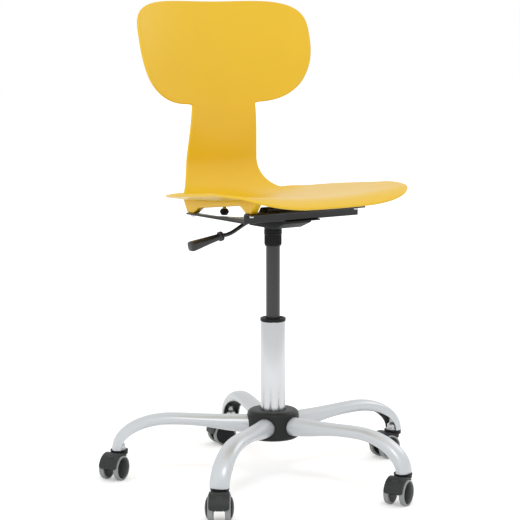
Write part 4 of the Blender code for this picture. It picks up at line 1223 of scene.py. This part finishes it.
handle_tip = [(0.0030, 0.0050), (0.0036, 0.0056)]
first_fin = [(0.0042, 0.0090), (0.0050, 0.0096), (0.0060, 0.0096), (0.0068, 0.0088), (0.0072, 0.0072)]
second_fin = [(0.0082, 0.0072), (0.0086, 0.0088), (0.0094, 0.0096), (0.0104, 0.0096), (0.0112, 0.0088)]
grip = [(0.0118, 0.0070), (0.0140, 0.0066), (0.0220, 0.0070), (0.0330, 0.0077), (0.0450, 0.0085)]
flare = [(0.0560, 0.0092), (0.0660, 0.0099), (0.0740, 0.0102)]
rounded_tip = [(0.0775, 0.0099), (0.0790, 0.0094), (0.0797, 0.0086), (handle_length, 0.0076)]
handle_stations = []
for distance, radius in handle_tip + first_fin + second_fin + grip + flare + rounded_tip:
    square = min(1.0, max(0.0, (distance - square_from) / square_over))
    handle_stations.append((lever_run + distance, radius * (1.0 - square_slim * square), square))
handle_plastic = grained(
    "handle_plastic", (0.017, 0.017, 0.018), roughness=0.36, grain_scale=2600.0, bump=0.25
)
handle = placed(bar(handle_stations, 40), at_column)
lever_handle = mesh_piece("lever_handle_grip", handle, handle_plastic, smooth=60.0)
hole_ends = (lever_run - 0.002, lever_run + grip_on_rod + 0.0006)
rod_hole = bar([(distance, rod_hole_radius, 0.0) for distance in hole_ends], 28)
work(lever_handle, [], [placed(rod_hole, at_column)])
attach(lever_handle, "lever")
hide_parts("lever_handle")


# Casters: five black hooded bodies that trail behind their stems, each with a deep black collar under its arm
# and two wheels on one axle. A wheel is a domed black disc with a grey soft tread pressed round it.

caster_trail = 0.0205
caster_height = 0.0577
wheel_radius = 0.025
collar_half = 0.018
collar_waist = collar_half - 0.0006
collar_bottom = caster_height - 0.009
hood_half = 0.0195
hood_inside = 0.0268
hood_outside = hood_inside + 0.0025
hood_low, hood_high = math.radians(4.0), math.radians(128.0)
hood_corner, corner_steps, hood_steps = 0.0052, 8, 40
web_half = 0.007
web_front, web_top, web_bottom = -0.012, collar_bottom + 0.002, wheel_radius - 0.0065
caster_headings = (178.0, 170.0, 209.0, 234.0, 207.0)

corner_turn = hood_corner / hood_outside
hood_turns = []
for i in range(corner_steps):
    hood_turns.append(hood_low + corner_turn * (1.0 - math.cos(math.pi / 2 * i / corner_steps)))
for i in range(hood_steps + 1):
    hood_turns.append(hood_low + corner_turn + (hood_high - hood_low - corner_turn) * i / hood_steps)
hood_rings = []
for turn in hood_turns:
    left = max(0.0, hood_corner - (turn - hood_low) * hood_outside)
    half = hood_half - hood_corner + math.sqrt(hood_corner**2 - left**2)
    section = [
        (-half, hood_inside, 0.0008),
        (half, hood_inside, 0.0008),
        (half, hood_outside, 0.0012),
        (-half, hood_outside, 0.0012),
    ]
    ring = []
    for across, out in filleted(*section):
        ring.append((caster_trail + out * math.cos(turn), across, wheel_radius + out * math.sin(turn)))
    hood_rings.append(ring)
hood = loft(hood_rings)
web_outline = filleted(
    (caster_trail + hood_inside + 0.001, wheel_radius + 0.003, 0.002),
    (caster_trail + 0.018, web_top, 0.0),
    (web_front, web_top, 0.0),
    (web_front, collar_bottom - 0.008, 0.004),
    (caster_trail - 0.007, web_bottom + 0.001, 0.005),
    (caster_trail + 0.004, web_bottom, 0.004),
)
web = placed(slab(web_outline, -web_half, web_half, 0.001), front_on)
caster_collar_profile = filleted(
    (0.0, collar_bottom, 0.0),
    (collar_waist, collar_bottom, 0.001),
    (collar_waist, caster_height - 0.0034, 0.0006),
    (collar_half, caster_height - 0.0028, 0.0006),
    (collar_half, caster_height, 0.0010),
    (0.0, caster_height, 0.0),
)
caster_collar = turned(caster_collar_profile, 64, closed=False)
hood_plastic = grained(
    "hood_plastic", (0.020, 0.021, 0.022), roughness=0.48, grain_scale=3000.0, bump=0.32, specular=0.36
)
disc_plastic = grained(
    "disc_plastic", (0.010, 0.011, 0.012), roughness=0.40, grain_scale=2600.0, bump=0.18, specular=0.16
)
tread_rubber = grained("tread_rubber", (0.270, 0.281, 0.281), roughness=0.58, grain_scale=1600.0, bump=0.22)

tyre_inner, tyre_outer = 0.0110, 0.0215
tyre_bore = 0.0211
tyre_profile = filleted(
    (tyre_bore, tyre_outer, 0.0008),
    (wheel_radius, tyre_outer, 0.0036),
    (wheel_radius, tyre_inner, 0.0020),
    (tyre_bore, tyre_inner, 0.0),
    steps=6,
)
disc_radius = tyre_bore - 0.0003
disc_crown, disc_sunk, disc_power, disc_steps = 0.0058, 0.0004, 1.15, 14
wheel_boss, wheel_boss_face = 0.0075, web_half + 0.0008
axle_bore, axle_end = 0.0033, 0.0146
disc_profile = []
for step in range(disc_steps + 1):
    angle = math.pi / 2 * (1.0 - step / disc_steps)
    dome = (disc_crown + disc_sunk) * math.sin(angle) ** disc_power
    disc_profile.append((disc_radius * math.cos(angle), tyre_outer - disc_sunk + dome))
disc_profile += [
    (disc_radius, tyre_inner),
    (wheel_boss, tyre_inner),
    (wheel_boss, wheel_boss_face),
    (axle_bore, wheel_boss_face),
    (axle_bore, axle_end),
    (0.0, axle_end),
]
tyre_shape = turned(tyre_profile, 96)
disc_shape = turned(disc_profile, 96, closed=False)

for number, heading in enumerate(caster_headings, start=1):
    spoke = 2 * math.pi * (number - 1) / arm_count
    stand = column + Vector((arm_circle * math.cos(spoke), arm_circle * math.sin(spoke), 0.0))
    caster_place = Matrix.Translation(stand) @ Matrix.Rotation(math.radians(heading), 4, "Z")
    body = mesh_piece(f"caster_{number}_hood", placed(hood, caster_place), hood_plastic)
    work(body, [placed(web, caster_place)], [], smooth=45.0)
    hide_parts(f"caster_{number}_body")
    neck = mesh_piece(f"caster_{number}_collar", placed(caster_collar, caster_place), deep_black, smooth=45.0)
    for made in (body, neck):
        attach(made, f"caster_{number}")
    axle_place = caster_place @ Matrix.Translation((caster_trail, 0.0, wheel_radius))
    for side, lay_over in (("left", -math.pi / 2), ("right", math.pi / 2)):
        wheel_place = axle_place @ Matrix.Rotation(lay_over, 4, "X")
        disc = mesh_piece(f"caster_{number}_disc_{side}", placed(disc_shape, wheel_place), disc_plastic)
        tyre = mesh_piece(f"caster_{number}_tread_{side}", placed(tyre_shape, wheel_place), tread_rubber)
        for made, node, slot_name in ((disc, "wheel", "black_plastic"), (tyre, "tyre", "grey_tread")):
            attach(made, f"caster_{number}_{side}")
            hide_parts(f"caster_{number}_{node}_{side}")


# Studio: a pale floor that runs out to a white surround, under three soft lamps: the main one overhead in
# front, and a weaker one at each side. Floor and surround are white only to the camera and to what metal
# shows of them, and metal shows nothing of the left lamp.

floor_size = 14.0
floor_glow = {"From Min": 0.5, "From Max": 2.6, "To Min": 0.28, "To Max": 0.50}
sky_light, sky_seen = 0.86, 1.0


def seen_directly(tree):
    """1 for rays from the camera, straight or by way of metal and glass, and 0 for the light on the chair."""
    rays = wired(tree, "ShaderNodeLightPath")
    seen = rays["Is Camera Ray"]
    for kind in ("Is Glossy Ray", "Is Transmission Ray"):
        seen = calculated(tree, "MAXIMUM", seen, rays[kind])
    return seen


floor_white = grained(
    "floor_white",
    (0.90, 0.90, 0.90),
    roughness=0.9,
    grain_scale=40.0,
    bump=0.0,
    spreads=(0.0, 0.0),
    specular=0.0,
)
floor_corners = [(x * floor_size, y * floor_size, 0.0) for x, y in ((-1, -1), (1, -1), (1, 1), (-1, 1))]
floor = mesh_piece("floor", (floor_corners, [(0, 1, 2, 3)]), floor_white)
ground = floor_white.node_tree
ground_place = wired(ground, "ShaderNodeTexCoord")["Object"]
away = wired(ground, "ShaderNodeVectorMath", {0: ground_place}, operation="LENGTH")["Value"]
whiter = wired(ground, "ShaderNodeMapRange", {"Value": away, **floor_glow})["Result"]
shown = calculated(ground, "MULTIPLY", whiter, seen_directly(ground))
lift_white = wired(ground, "ShaderNodeEmission", {"Strength": shown})["Emission"]
pale = ground.nodes["Principled BSDF"].outputs["BSDF"]
added = wired(ground, "ShaderNodeAddShader", {0: pale, 1: lift_white})["Shader"]
fed(ground, ground.nodes["Material Output"], {"Surface": added})

world = bpy.data.worlds.new("studio")
bpy.context.scene.world = world
world.use_nodes = True
sky = world.node_tree
sky_range = {"Value": seen_directly(sky), "To Min": sky_light, "To Max": sky_seen}
strength = wired(sky, "ShaderNodeMapRange", sky_range)["Result"]
fed(sky, sky.nodes["Background"], {"Color": (1.0, 1.0, 1.0, 1.0), "Strength": strength})


def soft_lamp(name, place, size, power, mirrored=True):
    """A round lamp that faces the middle of the chair. Metal shows it if it is mirrored."""
    chair_middle = Vector((0.0, 0.0, 0.5))
    data = bpy.data.lights.new(name, "AREA")
    data.shape = "DISK"
    data.size = size
    data.energy = power
    lamp = bpy.data.objects.new(name, data)
    bpy.context.scene.collection.objects.link(lamp)
    lamp.visible_glossy = mirrored
    lamp.location = place
    lamp.rotation_euler = (chair_middle - Vector(place)).to_track_quat("-Z", "Y").to_euler()


soft_lamp("key_lamp", (-1.2, -2.3, 3.3), size=1.3, power=30.0)
soft_lamp("left_lamp", (-3.2, -0.3, 1.3), size=1.8, power=14.0, mirrored=False)
soft_lamp("right_lamp", (2.8, 0.2, 2.2), size=1.6, power=12.0)


# Camera: stands to the sitter's right of the front, a little above the top of the back. Its lens is set for a
# picture 520 pixels wide.

picture_width = 520.0
focal_pixels, shift_pixels = 1831.0, -13.0
camera_turn = math.radians(35.41)
camera_pitch = math.radians(7.98)
camera_far, camera_high = 3.6, 0.9475
lens = bpy.data.cameras.new("camera")
lens.sensor_width = 36.0
lens.lens = focal_pixels * lens.sensor_width / picture_width
lens.shift_x = shift_pixels / picture_width
camera = bpy.data.objects.new("camera", lens)
bpy.context.scene.collection.objects.link(camera)
camera_off = Vector((-camera_far * math.sin(camera_turn), -camera_far * math.cos(camera_turn), camera_high))
camera.location = column + camera_off
camera.rotation_euler = (math.pi / 2 - camera_pitch, 0.0, -camera_turn)
bpy.context.scene.camera = camera
bpy.context.scene.view_settings.view_transform = "Standard"
